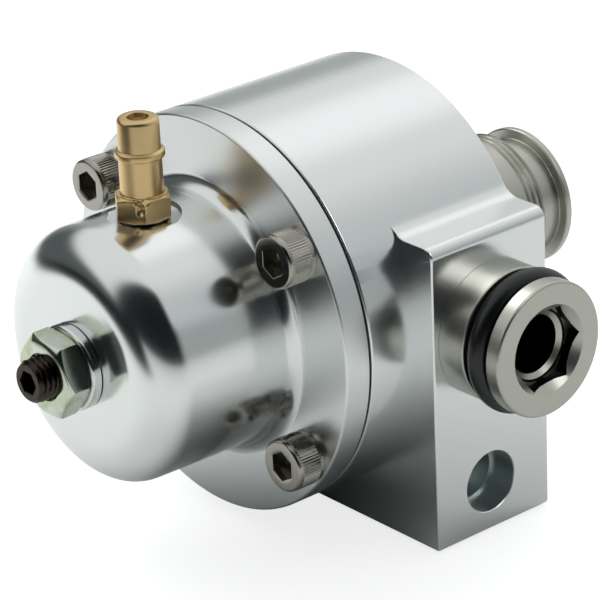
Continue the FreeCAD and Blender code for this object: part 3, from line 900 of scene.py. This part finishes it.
    def build(self) -> bpy.types.Object:
        """Make and dress the cap."""
        piece = make_piece("bell_cap", self.grid(), closed_rows=True)
        return settle(piece, "housing", ["cap"], BUFFED_ALUMINIUM.material())


@dataclass
class CapScrew:
    """One socket head cap screw with a knurled head."""

    number: int
    x: float
    z: float
    head_radius: float = 3.96
    head_height: float = 4.83
    bevel: float = 0.42
    plain: float = 0.7
    under_ease: float = 0.12
    ridges: int = 60
    ridge_depth: float = 0.09
    ridge_lead: float = 0.12
    socket_flats: float = 3.97
    socket_depth: float = 2.6
    socket_lip: float = 0.12
    drill_point: float = 1.0
    corner_deg: float = 30.0
    shank_radius: float = 2.4
    shank_point: float = 0.5
    engagement: float = 15.25
    columns: ClassVar[int] = 360

    def grid(self) -> np.ndarray:
        """The screw from the tip of its shank to the bottom of its socket.

        Over the knurled band the radius drops between ridges by ridge_depth times a triangle
        wave of the angle. At the socket each row's radius is the hexagon's.

        Returns:
            Points in millimetres, rows by columns by three.
        """
        angle = even_angles(self.columns)
        head, top, shank = self.head_radius, self.head_height, self.shank_radius
        lead, tip, floor = self.ridge_lead, -self.engagement, self.head_height - self.socket_depth
        sunk = head - self.ridge_depth / 2
        under = sunk - 0.05
        wave = np.abs(np.mod(angle * self.ridges / WHOLE_TURN, 1.0) - 0.5) * 2
        knurled = head - self.ridge_depth * wave
        flats = hexagon_radius(self.socket_flats, angle, self.corner_deg)
        low, high = self.plain, top - self.plain / 2 - self.bevel
        rows = [(0, tip), (shank - self.shank_point, tip), (shank, tip + self.shank_point),
                (shank, 0)]
        rows += list(eased([(shank, 0), (under, 0, self.under_ease), (under, low)], 3)[1:])
        rows += [(knurled, low + lead), (knurled, low + lead + 0.08),
                 (knurled, high - lead - 0.08), (knurled, high - lead)]
        rows += list(eased([(sunk, high), (sunk, top, self.bevel),
                            (self.socket_flats / 2 + 0.6, top)], 7))
        rows += [(flats + self.socket_lip, top), (flats + 0.03, top - 0.05), (flats, top - 0.14),
                 (flats, floor), (flats * 0.95, floor - 0.05), (0, floor - self.drill_point)]
        lathe = Lathe((self.x, FLANGE_FRONT, self.z), (0, -1, 0), (1, 0, 0), (0, 0, 1))
        return grid_from_rows(lathe, rows, angle)

    def build(self, material: bpy.types.Material) -> bpy.types.Object:
        """Make and dress the screw."""
        piece = make_piece("knurled_cap_screw_%d" % self.number, self.grid())
        return settle(piece, "housing", ["cap_screw_%d" % self.number], material)


@dataclass
class Adjuster:
    """The adjusting set screw with its jam nut and washer.

    The thread's groove is thread_slope times a triangle wave, less thread_land, clipped to 0 at
    the crest and to 1 at the root. The screw begins at screw_end and runs back.
    """

    screw_radius: float = 3.175
    screw_end: float = -57.5
    screw_length: float = 17.5
    pitch: float = 0.907
    thread_depth: float = 0.5
    thread_slope: float = 1.3
    thread_land: float = 0.15
    rows_per_pitch: int = 14
    point: float = 0.5
    socket_flats: float = 3.175
    socket_depth: float = 3.5
    nut_flats: float = 11.11
    nut_front: float = -54.75
    nut_height: float = 3.9
    nut_corner_deg: float = 54.0
    nut_bore: float = 3.225
    nut_countersink: float = 0.35
    nut_chamfer: float = 0.3
    nut_chamfer_deg: float = 30.0
    washer_radius: float = 6.33
    washer_bore: float = 3.425
    washer_front: float = -50.85
    washer_front_ease: float = 0.5
    washer_back_ease: float = 0.15
    washer_bore_ease: float = 0.1
    screw_columns: ClassVar[int] = 96
    nut_columns: ClassVar[int] = 180
    washer_columns: ClassVar[int] = 128

    def screw_grid(self) -> np.ndarray:
        """The set screw with its thread.

        The radius is the crest's, less the depth times a clipped triangle wave of the number
        of pitches along the screw less the number of turns about it, and never outside the
        cones at both ends.

        Returns:
            Points in millimetres, rows by columns by three.
        """
        angle = even_angles(self.screw_columns)
        count = int(self.screw_length / self.pitch * self.rows_per_pitch)
        along = np.linspace(0, self.screw_length, count)
        turns = along[:, None] / self.pitch - angle / WHOLE_TURN
        wave = np.abs(2 * np.mod(turns, 1.0) - 1)
        groove = np.clip(self.thread_slope * wave - self.thread_land, 0, 1)
        crest = self.screw_radius - self.thread_depth * groove
        cone = self.screw_radius - self.point + np.minimum(along, self.screw_length - along)
        thread = np.minimum(crest, cone[:, None])
        flats = hexagon_radius(self.socket_flats, angle, 0.0)
        rows = [(0, self.socket_depth + 0.5), (flats * 0.96, self.socket_depth),
                (flats, self.socket_depth - 0.05), (flats, 0.12), (flats + 0.1, 0),
                *zip(thread, along), (0, self.screw_length)]
        return grid_from_rows(MAIN, [(r, self.screw_end + a) for r, a in rows], angle)

    def nut_grid(self) -> np.ndarray:
        """The jam nut.

        Each column runs from the bore over the face to the chamfer's circle, down a cone of
        thirty degrees until it meets the hexagon, along the flat, and back the same way.

        Returns:
            Points in millimetres, a closed ring of rows by columns by three.
        """
        angle = even_angles(self.nut_columns) + math.radians(self.nut_corner_deg)
        hexagon = hexagon_radius(self.nut_flats, angle, self.nut_corner_deg)
        circle = self.nut_flats / 2 - self.nut_chamfer
        drop = (hexagon - circle) * math.tan(math.radians(self.nut_chamfer_deg))
        bore, sink = self.nut_bore, self.nut_countersink
        front, back = self.nut_front, self.nut_front + self.nut_height
        rows = [(bore, front + sink), (bore + sink, front), (circle, front),
                (hexagon - 0.05, front + drop - 0.03), (hexagon, front + drop + 0.05),
                (hexagon, back - drop - 0.05), (hexagon - 0.05, back - drop + 0.03),
                (circle, back), (bore + sink, back), (bore, back - sink)]
        return grid_from_rows(MAIN, rows, angle)

    def washer_grid(self) -> np.ndarray:
        """The washer: a thick plain ring with its front edge rounded over.

        Returns:
            Points in millimetres, a closed ring of rows by columns by three.
        """
        bore, front, ease = self.washer_bore, self.washer_front, self.washer_bore_ease
        profile = eased([(bore, front + 0.5), (bore, front, ease),
                         (self.washer_radius, front, self.washer_front_ease),
                         (self.washer_radius, BELL_FRONT, self.washer_back_ease),
                         (bore, BELL_FRONT, ease), (bore, BELL_FRONT - 0.4)], 5)
        return turned_grid(MAIN, profile, self.washer_columns)

    def build(self) -> None:
        """Make and dress the screw, the nut and the washer."""
        screw = make_piece("threaded_set_screw", self.screw_grid())
        settle(screw, "adjuster", ["adjusting_screw"], BLACK_OXIDE.material())
        nut = make_piece("zinc_jam_nut", self.nut_grid(), closed_rows=True)
        settle(nut, "nut", ["lock_nut"], YELLOW_ZINC.material())
        washer = make_piece("bright_washer", self.washer_grid(), closed_rows=True)
        settle(washer, "washer", ["lock_washer"], BRIGHT_ZINC.material())


@dataclass(frozen=True)
class Gouge:
    """A bowl-shaped tool mark in a surface that is turned about an axis."""

    middle_deg: float
    middle_along: float
    half_width_deg: float
    half_height: float
    deep: float

    def depth(self, angle: np.ndarray, along: np.ndarray) -> np.ndarray:
        """How deep the mark is from place to place.

        It is deep * (1 - x^2 - y^2), and nothing outside its rim, where x and y run from 0 at
        its middle to 1 at the ends of its width and of its height.

        Args:
            angle: angles about the axis in radians.
            along: distances along the axis.

        Returns:
            One depth per point.
        """
        across = (np.degrees(angle) - self.middle_deg) / self.half_width_deg
        up = (along - self.middle_along) / self.half_height
        return self.deep * np.clip(1 - across ** 2 - up ** 2, 0, 1)


@dataclass
class VacuumNipple:
    """The brass hose nipple on top of the bell.

    Its hexagon takes half of the sealing washer in a recess, and has two tool marks.
    """

    foot: float = -2.5
    gasket: float = 0.5
    recess: float = 3.72
    recess_depth: float = 0.25
    hex_flats: float = 7.5
    hex_top: float = 3.8
    hex_chamfer: float = 0.12
    hex_chamfer_deg: float = 32.0
    hex_corner_deg: float = -34.0
    tail: float = 2.4
    lower: float = 3.1
    barb: float = 3.6
    barb_low: float = 9.2
    barb_top: float = 10.3
    upper: float = 3.0
    tip: float = 15.1
    tip_ease: float = 0.62
    mouth: float = 1.45
    bore: float = 1.0
    columns: ClassVar[int] = 180
    flat_rows: ClassVar[int] = 16
    gouges: ClassVar[tuple[Gouge, ...]] = (Gouge(-40.0, 3.75, 17.0, 0.95, 0.75),
                                           Gouge(-43.0, 2.5, 10.5, 0.95, 0.6))

    def grid(self) -> np.ndarray:
        """The nipple from its bore round its foot, hexagon, barb and tip back to the bore.

        Rows follow the hexagon, with a shallow cone over its corners, less the gouges' depth,
        and circles elsewhere.

        Returns:
            Points in millimetres, a closed ring of rows by columns by three.
        """
        angle = even_angles(self.columns) + math.radians(self.hex_corner_deg - 180)
        hexagon = hexagon_radius(self.hex_flats, angle, self.hex_corner_deg)
        circle, top = self.hex_flats / 2 - self.hex_chamfer, self.hex_top
        drop = (hexagon - circle) * math.tan(math.radians(self.hex_chamfer_deg))
        skirt = self.gasket - self.recess_depth
        low, high = skirt + 0.12 + drop * 0.6, top - drop - 0.12
        rows = [(self.bore, self.foot), (self.tail, self.foot), (self.tail, self.gasket),
                (self.recess, self.gasket), (self.recess, skirt),
                (hexagon - 0.02, skirt + 0.02 + drop * 0.5),
                (hexagon - 0.005, skirt + 0.08 + drop * 0.6)]
        flats = [(hexagon, low + (high - low) * share)
                 for share in np.linspace(0, 1, self.flat_rows)]
        flats += [(hexagon - 0.04, top - drop - 0.02), (hexagon - 0.14, top - drop + 0.05),
                  (circle, top)]
        rows += [(self.gouged(radius, angle, along), along) for radius, along in flats]
        rows += list(eased([
            (circle, top), (self.lower, top, 0.15), (self.lower, self.barb_low, 0.12),
            (self.barb, self.barb_low + 0.12, 0.22), (self.barb - 0.05, self.barb_top - 0.1, 0.25),
            (self.upper + 0.04, self.barb_top + 0.1, 0.15), (self.upper, self.tip, self.tip_ease),
            (self.mouth + 0.1, self.tip, 0.1), (self.mouth, self.tip - 0.6),
            (self.bore, self.tip - 1.4)], 5)[1:])
        return grid_from_rows(NIPPLE, rows, angle)

    def gouged(self, radius: np.ndarray, angle: np.ndarray, along: np.ndarray) -> np.ndarray:
        """The hexagon's radius less its tool marks, and never as small as the stem's foot.

        Args:
            radius: the hexagon's radius at each angle.
            angle: the angles in radians.
            along: the distance along the axis at each angle.

        Returns:
            One radius per angle.
        """
        for gouge in self.gouges:
            radius = radius - gouge.depth(angle, along)
        return np.maximum(radius, self.lower + 0.16)

    def build(self) -> bpy.types.Object:
        """Make and dress the nipple."""
        piece = make_piece("brass_nipple", self.grid(), closed_rows=True)
        return settle(piece, "housing", ["vacuum_nipple"],
                      TURNED_BRASS.material(NIPPLE, "upright"))


@dataclass
class Spigot:
    """A turned spigot: an outside profile, and a bore with a countersunk hexagon.

    root and end are where it begins, inside its port, and where its rim's face lies.
    """

    name: str
    node: str
    lathe: Lathe
    root: float
    end: float
    corner_deg: float
    bore: ClassVar[float] = 4.4
    bore_bevel: ClassVar[tuple[float, float]] = (0.7, 0.6)
    hex_flats: ClassVar[float] = 11.1
    hex_depth: ClassVar[float] = 2.5
    mouth: ClassVar[float] = 6.75
    mouth_depth: ClassVar[float] = 1.1
    tail_radius: ClassVar[float] = 8.0
    face_inset: ClassVar[float] = 0.3
    columns: ClassVar[int] = 240

    def outside(self) -> list[tuple]:
        """The outside rows of (radius, along), from the tail to the rim's face."""
        raise NotImplementedError

    def grid(self) -> np.ndarray:
        """The spigot as a closed ring of rows.

        The rows run over the outside, across the face to the countersink, down its shallow
        cone until each column meets the hexagon, down the flats to the floor, in to the bore
        and back along it.

        Returns:
            Points in millimetres, rows by columns by three.
        """
        angle = even_angles(self.columns) + math.radians(self.corner_deg)
        hexagon = hexagon_radius(self.hex_flats, angle, self.corner_deg)
        slope = self.mouth_depth / (self.mouth - self.hex_flats / 2)
        meet = self.end - (self.mouth - hexagon) * slope
        floor = self.end - self.hex_depth
        bevel, bevel_depth = self.bore_bevel
        inner = [(self.mouth, self.end), (hexagon + 0.04, meet + 0.01), (hexagon, meet - 0.04),
                 (hexagon, floor), (self.hex_flats / 2 - 0.05, floor - 0.02),
                 (self.bore + bevel, floor - 0.04), (self.bore, floor - bevel_depth),
                 (self.bore, self.root)]
        return grid_from_rows(self.lathe, self.outside() + inner, angle)

    def finish(self, piece: bpy.types.Object, place: str) -> None:
        """Dress the spigot, with darker flats in its socket.

        Dark faces, with the socket's shade painted into their colour, are those whose middle lies
        on a flat, below the countersink, or on the flat floor, or in the bore below its bevel.

        Args:
            piece: the spigot.
            place: the word that tells this spigot's finish from the other's.
        """
        piece.data.materials.append(TURNED_STAINLESS.material(self.lathe, place))
        # The second finish paints the socket's shade as a nearly black colour
        piece.data.materials.append(SOCKET_SHADE_STAINLESS.material(self.lathe, place))
        middle = np.empty(len(piece.data.polygons) * 3)
        piece.data.polygons.foreach_get("center", middle)
        middle = middle.reshape(-1, 3) / MM - np.array(self.lathe.origin)
        along = middle @ np.array(self.lathe.along)
        away = np.hypot(middle @ np.array(self.lathe.cosine), middle @ np.array(self.lathe.sine))
        floor, near, (_, bevel_depth) = self.end - self.hex_depth, 0.1, self.bore_bevel
        least, most = self.hex_flats / 2, self.hex_flats / 2 / math.cos(math.pi / 6)
        flats = (along > floor) & (along < self.end - self.mouth_depth + near)
        flats &= (away > least - near) & (away < most + near)
        base = (np.abs(along - floor) < near) & (away < least)
        lower = (along < floor - bevel_depth - near) & (away < self.bore + near)
        # Faces that get the painted shade of the socket
        dark = flats | base | lower
        piece.data.polygons.foreach_set("material_index", dark.astype(np.int32))

    def dressed(self, place: str) -> bpy.types.Object:
        """Make, dress and tie the spigot.

        Args:
            place: the word that tells its finish from the other spigot's.

        Returns:
            The finished spigot.
        """
        piece = make_piece(self.name, self.grid(), closed_rows=True)
        self.finish(piece, place)
        return settle(piece, "housing", [self.node])


@dataclass
class SideSpigot(Spigot):
    """The side spigot with its O-ring in the groove."""

    neck_radius: float = 10.2
    neck: float = 4.85
    groove: float = 4.4
    groove_radius: float = 7.4
    rim_radius: float = 10.05
    rim_ease: float = 0.4
    ring_section: float = 3.3
    ring_gap: float = 0.05

    def outside(self) -> list[tuple]:
        """The tail, neck, groove and rim."""
        rim = self.neck + self.groove
        return list(eased([
            (self.bore, self.root), (self.tail_radius, self.root), (self.tail_radius, 0),
            (self.neck_radius, 0, 0.08), (self.neck_radius, self.neck, 0.3),
            (self.groove_radius, self.neck), (self.groove_radius, rim),
            (self.rim_radius, rim, 0.25), (self.rim_radius, self.end, self.rim_ease),
            (self.mouth + self.face_inset, self.end)], 5))

    def ring_grid(self) -> np.ndarray:
        """The O-ring: a circle carried round the axis.

        Returns:
            Points in millimetres, rows by columns by three.
        """
        section = self.ring_section / 2
        middle = self.groove_radius + section + self.ring_gap
        swing = even_angles(40)
        profile = np.stack([middle + section * np.cos(swing),
                            self.neck + self.groove / 2 + section * np.sin(swing)], axis=1)
        return turned_grid(self.lathe, profile, 160)

    def build(self) -> None:
        """Make and dress the spigot and its O-ring."""
        self.dressed("side")
        ring = make_piece("side_o_ring", self.ring_grid(), closed_rows=True)
        settle(ring, "housing", ["side_fitting_oring"], NITRILE.material())


@dataclass
class RearSpigot(Spigot):
    """The rear spigot with a few turns of thread and an empty O-ring groove.

    Its thread's groove is a triangle wave, as on the set screw, that fades in and out over the
    two lengths of thread_fade.
    """

    shank_radius: float = 11.45
    shank: float = 18.65
    pitch: float = 1.05
    turns: float = 3.0
    depth: float = 0.6
    thread_slope: float = 1.35
    thread_land: float = 0.2
    thread_fade: tuple[float, float] = (0.5, 0.2)
    thread_rows: int = 60
    neck_radius: float = 9.3
    neck: float = 5.15
    taper: float = 1.1
    rim_radius: float = 10.85
    rim_ease: float = 0.3

    def outside(self) -> list[tuple]:
        """The tail, shank, thread, neck and rim.

        Over the thread the radius drops from the shank's by the depth times a clipped triangle
        wave of the pitches along less the turns about, faded out at both ends.

        Returns:
            Rows of (radius, along), where the thread's radius has one value per column.
        """
        thread_end = self.shank + self.pitch * self.turns
        rim = thread_end + self.neck
        start = eased([
            (self.bore, self.root), (self.tail_radius, self.root), (self.tail_radius, 0),
            (self.shank_radius, 0, 0.08), (self.shank_radius, self.shank - 0.4)], 4)
        angle = even_angles(self.columns)
        along = np.linspace(self.shank - 0.35, thread_end, self.thread_rows)
        fade_in, fade_out = self.thread_fade
        fade = np.clip((along - self.shank) / fade_in, 0, 1)
        fade *= np.clip((thread_end - along) / fade_out, 0, 1)
        turns = (along[:, None] - self.shank) / self.pitch - angle / WHOLE_TURN
        wave = 1 - np.abs(2 * np.mod(turns, 1.0) - 1)
        groove = np.clip(self.thread_slope * wave - self.thread_land, 0, 1)
        thread = self.shank_radius - self.depth * groove * fade[:, None]
        finish = eased([
            (self.shank_radius, thread_end), (self.neck_radius, thread_end + self.taper, 0.6),
            (self.neck_radius, rim, 0.15), (self.rim_radius, rim, self.rim_ease),
            (self.rim_radius, self.end, 0.15), (self.mouth + self.face_inset, self.end)], 5)
        return [*start, *zip(thread, along), *finish[1:]]

    def build(self) -> None:
        """Make and dress the spigot."""
        self.dressed("rear")


@dataclass
class InnerWorks:
    """The CAD nodes that keep their own meshes, and the finish that each one takes."""

    def build(self) -> None:
        """Give each kept node its finish."""
        steel = HEADED_STAINLESS.material(MAIN, "inner")
        rubber = NITRILE.material()
        finishes = {
            "diaphragm": DIAPHRAGM_CLOTH.material(), "spring_cup": steel, "valve_holder": steel,
            "stud_nut": steel, "valve_ball": steel, "spring_seat": steel,
            "valve_seat": TURNED_BRASS.material(MAIN, "seat"),
            "main_spring": SPRING_WIRE.material(),
            "nipple_gasket": rubber, "side_fitting_seal": rubber, "rear_fitting_seal": rubber,
        }
        for name, material in finishes.items():
            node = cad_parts[name]
            node.data.materials.clear()
            node.data.materials.append(material)
            log.info("%s keeps its CAD mesh, in %s", name, material.name)


# Studio

@dataclass
class Camera:
    """The photograph's camera, found by fitting the body's circles and edges."""

    place_mm: tuple[float, float, float] = (341.646, -294.775, 225.064)
    right: tuple[float, float, float] = (0.65663, 0.75317, -0.03978)
    up: tuple[float, float, float] = (-0.2801, 0.29249, 0.91433)
    back: tuple[float, float, float] = (0.70027, -0.58923, 0.40302)
    focal_px: float = 3279.3
    image_px: float = 600.0
    sensor_mm: float = 36.0
    sight_m: tuple[float, float] = (0.01, 20.0)

    def build(self) -> None:
        """Create the camera and make it the scene's."""
        lens = bpy.data.cameras.new("camera")
        lens.sensor_width = self.sensor_mm
        lens.lens = self.sensor_mm * self.focal_px / self.image_px
        lens.clip_start, lens.clip_end = self.sight_m
        viewer = bpy.data.objects.new("camera", lens)
        turn = Matrix((self.right, self.up, self.back)).transposed().to_4x4()
        viewer.matrix_world = Matrix.Translation(Vector(self.place_mm) * MM) @ turn
        bpy.context.scene.collection.objects.link(viewer)
        bpy.context.scene.camera = viewer


@dataclass
class Softbox:
    """A square area light that looks at the part.

    Without receivers it lights everything, and nothing mirrors it. With them it lights only
    those pieces, and they mirror it.
    """

    name: str
    place_m: tuple[float, float, float]
    size_m: float
    watts: float
    receivers: tuple[str, ...] = ()
    aim_m: ClassVar[tuple[float, float, float]] = (0.0, -0.01, 0.03)

    def build(self) -> None:
        """Create the light."""
        lamp = bpy.data.lights.new(self.name, "AREA")
        lamp.shape = "SQUARE"
        lamp.size = self.size_m
        lamp.energy = self.watts
        light = bpy.data.objects.new(self.name, lamp)
        turn = (Vector(self.aim_m) - Vector(self.place_m)).to_track_quat("-Z", "Y")
        light.matrix_world = Matrix.Translation(self.place_m) @ turn.to_matrix().to_4x4()
        light.visible_glossy = bool(self.receivers)
        if self.receivers:
            group = bpy.data.collections.new(self.name + " receivers")
            for name in self.receivers:
                group.objects.link(bpy.data.objects[name])
            light.light_linking.receiver_collection = group
        bpy.context.scene.collection.objects.link(light)


@dataclass
class Floor:
    """A wide pale floor that the camera sees as white, with a faint soft shadow.

    What the metal mirrors of it has a painted shadow under the part: it is greyer between the
    two distances of shade_mm from shade_centre_mm. It ends in gloom where it is past both
    end_mm towards the front and side_mm towards the left.
    """

    half_m: float = 4.0
    drop_mm: float = 0.4
    colour: str = "#EDEFEE"
    # Painted shadow: the grey that the metal mirrors of the floor under the part
    shaded: str = "#B4B8B7"
    gloom: str = "#0C1012"
    end_mm: tuple[float, float] = (-145.0, -200.0)
    side_mm: tuple[float, float] = (70.0, 0.0)
    shade_centre_mm: tuple[float, float, float] = (5.0, -22.0, 0.0)
    shade_mm: tuple[float, float] = (40.0, 8.0)
    seen: str = "#A8AAAA"
    seen_glow: float = 0.8

    def build(self) -> None:
        """Make the floor."""
        half = self.half_m
        mesh = bpy.data.meshes.new("floor")
        corners = [(-half, -half, 0), (half, -half, 0), (half, half, 0), (-half, half, 0)]
        mesh.from_pydata(corners, [], [(0, 1, 2, 3)])
        plane = bpy.data.objects.new("floor", mesh)
        plane.location = (0, 0, -self.drop_mm * MM)
        bpy.context.scene.collection.objects.link(plane)
        mesh.materials.append(self.paper())

    def paper(self) -> bpy.types.Material:
        """White paper: what the metal mirrors, and what the camera's own rays see.

        Returns:
            The new material.
        """
        paint = bpy.data.materials.new("white paper floor")
        paint.use_nodes = True
        tree = paint.node_tree
        tree.nodes.clear()
        mirrored = add_node(tree, "ShaderNodeBsdfDiffuse", {}, {"Color": self.mirrored(tree)})
        seen = add_node(tree, "ShaderNodeBsdfDiffuse", {"Color": linear(self.seen)})
        glow = add_node(tree, "ShaderNodeEmission", {"Strength": self.seen_glow})
        both = add_node(tree, "ShaderNodeAddShader", {}, {0: seen.outputs[0], 1: glow.outputs[0]})
        shader = by_viewer(tree, mirrored, both)
        add_node(tree, "ShaderNodeOutputMaterial", {}, {"Surface": shader})
        return paint

    def mirrored(self, tree: bpy.types.NodeTree) -> bpy.types.NodeSocket:
        """The floor's colour from place to place, as the metal mirrors it.

        Args:
            tree: the material's node tree.

        Returns:
            The socket of the colour.
        """
        place = add_node(tree, "ShaderNodeTexCoord").outputs["Object"]
        split = add_node(tree, "ShaderNodeSeparateXYZ", {}, {0: place})
        front = step(tree, split.outputs["Y"], *[v * MM for v in self.end_mm])
        left = step(tree, split.outputs["X"], *[v * MM for v in self.side_mm])
        # Painted shadow under the part: the mirrored floor turns greyer towards shade_centre_mm
        away = add_node(tree, "ShaderNodeVectorMath", {"operation": "DISTANCE"}, {0: place})
        away.inputs[1].default_value = [v * MM for v in self.shade_centre_mm]
        near = step(tree, away.outputs["Value"], *[v * MM for v in self.shade_mm])
        pale = blend(tree, near, self.colour, self.shaded)
        return blend(tree, product(tree, front, left), pale, self.gloom)


@dataclass
class Tent:
    """The light tent round the part, as the metal mirrors it by direction.

    Colours are the tent's own, brightened by level. Directions are unit vectors of the part's
    frame, and each pair of numbers is where a smooth step begins and ends. The overhead light
    reaches down to an edge whose height is edge_height less edge_dip times y squared, blurred
    over edge_blur. Below it the tent is dim, and paler to the back, over low_back_y. It is
    dimmer at the back right, past right_x and right_y. A round glow lies at the back left. The
    tent turns dark where it faces the camera's side, and light again past camera_side_end
    towards the back.
    """

    bright: str = "#B2B4B3"
    gloom: str = "#0C1012"
    dusk: str = "#3C4140"
    low_back: str = "#858A89"
    right_back: str = "#979A9A"
    glow: str = "#CBCCCC"
    level: float = 1.8
    edge_height: float = 0.53
    edge_dip: float = 0.45
    edge_blur: tuple[float, float] = (-0.12, 0.08)
    low_back_y: tuple[float, float] = (0.0, 0.75)
    right_x: tuple[float, float] = (0.22, 0.6)
    right_y: tuple[float, float] = (0.1, 0.45)
    glow_middle: tuple[float, float, float] = (-0.27, 0.62, 0.73)
    glow_edge_deg: tuple[float, float] = (20.0, 4.0)
    camera_side: tuple[float, float, float] = (0.90, -0.45, -0.40)
    camera_side_edge: tuple[float, float] = (-0.04, 0.10)
    camera_side_end: tuple[float, float] = (0.36, 0.02)

    def build(self) -> None:
        """Make the world: the tent for every ray but the camera's own, which sees white."""
        world = bpy.data.worlds.new("light tent")
        bpy.context.scene.world = world
        world.use_nodes = True
        tree = world.node_tree
        tree.nodes.clear()
        tent = add_node(tree, "ShaderNodeBackground", {"Strength": self.level},
                        {"Color": self.colour(tree)})
        plain = add_node(tree, "ShaderNodeBackground", {"Color": linear("#FFFFFF")})
        shader = by_viewer(tree, tent, plain)
        add_node(tree, "ShaderNodeOutputWorld", {}, {"Surface": shader})

    def colour(self, tree: bpy.types.NodeTree) -> bpy.types.NodeSocket:
        """The tent's colour by direction, built from its lit part down to its gloom.

        Args:
            tree: the world's node tree.

        Returns:
            The socket of the colour.
        """
        way = add_node(tree, "ShaderNodeTexCoord").outputs["Generated"]
        x, y, z = add_node(tree, "ShaderNodeSeparateXYZ", {}, {0: way}).outputs
        square = product(tree, y, y)
        edge = add_node(tree, "ShaderNodeMath", {
            "operation": "MULTIPLY_ADD", 1: self.edge_dip, 2: -self.edge_height}, {0: square})
        above = add_node(tree, "ShaderNodeMath", {"operation": "ADD"}, {0: z, 1: edge.outputs[0]})
        corner = product(tree, step(tree, x, *self.right_x), step(tree, y, *self.right_y))
        high = blend(tree, corner, self.bright, self.right_back)
        low = blend(tree, step(tree, y, *self.low_back_y), self.dusk, self.low_back)
        tent = blend(tree, step(tree, above.outputs[0], *self.edge_blur), low, high)
        near = facing(tree, way, Vector(self.glow_middle).normalized())
        share = step(tree, near, *[math.cos(math.radians(deg)) for deg in self.glow_edge_deg])
        tent = blend(tree, share, tent, self.glow)
        toward = step(tree, facing(tree, way, self.camera_side), *self.camera_side_edge)
        ahead = step(tree, y, *self.camera_side_end)
        return blend(tree, product(tree, toward, ahead), tent, self.gloom)


@dataclass
class Studio:
    """A pale floor in a light tent, with lamps for what the tent alone leaves dull."""

    steel: tuple[str, ...] = ("side_spigot", "rear_spigot")
    body: tuple[str, ...] = ("billet_body",)

    def build(self) -> None:
        """Make the floor, the tent and the lamps."""
        bpy.context.scene.view_settings.view_transform = "Standard"
        Floor().build()
        Tent().build()
        for lamp in (
            Softbox("overhead softbox", (-0.34, -0.12, 0.36), 0.34, 1.3),
            Softbox("back softbox", (-0.20, 0.55, 0.60), 0.5, 1.9),
            Softbox("steel softbox", (-0.40, 0.03, 0.55), 0.34, 0.9, self.steel),
            Softbox("right softbox", (0.45, 0.05, 0.54), 0.3, 0.7, self.steel + self.body),
        ):
            lamp.build()


def cap_screws() -> list[CapScrew]:
    """The four cap screws, mirrored about both axes round their circle.

    Returns:
        The screws, numbered counterclockwise from the upper right, seen from the bell.
    """
    across = SCREW_CIRCLE_RADIUS * math.cos(SCREW_ANGLE)
    up = SCREW_CIRCLE_RADIUS * math.sin(SCREW_ANGLE)
    places = ((across, up), (-across, up), (-across, -up), (across, -up))
    return [CapScrew(number, x, AXIS_HEIGHT + z) for number, (x, z) in enumerate(places, start=1)]


def main() -> None:
    """Build every sub-assembly, the studio and the camera, in that order."""
    logging.basicConfig(level=logging.INFO, format="%(name)s %(message)s")
    BilletBody().build()
    BellCap().build()
    steel = HEADED_STAINLESS.material()
    for screw in cap_screws():
        screw.build(steel)
    Adjuster().build()
    VacuumNipple().build()
    SideSpigot("side_spigot", "side_fitting", SIDE, root=-10.0, end=11.75, corner_deg=5.6).build()
    RearSpigot("rear_spigot", "rear_fitting", REAR, root=-6.0, end=28.05, corner_deg=0.0).build()
    InnerWorks().build()
    Studio().build()
    Camera().build()


if __name__ == "__main__":
    main()
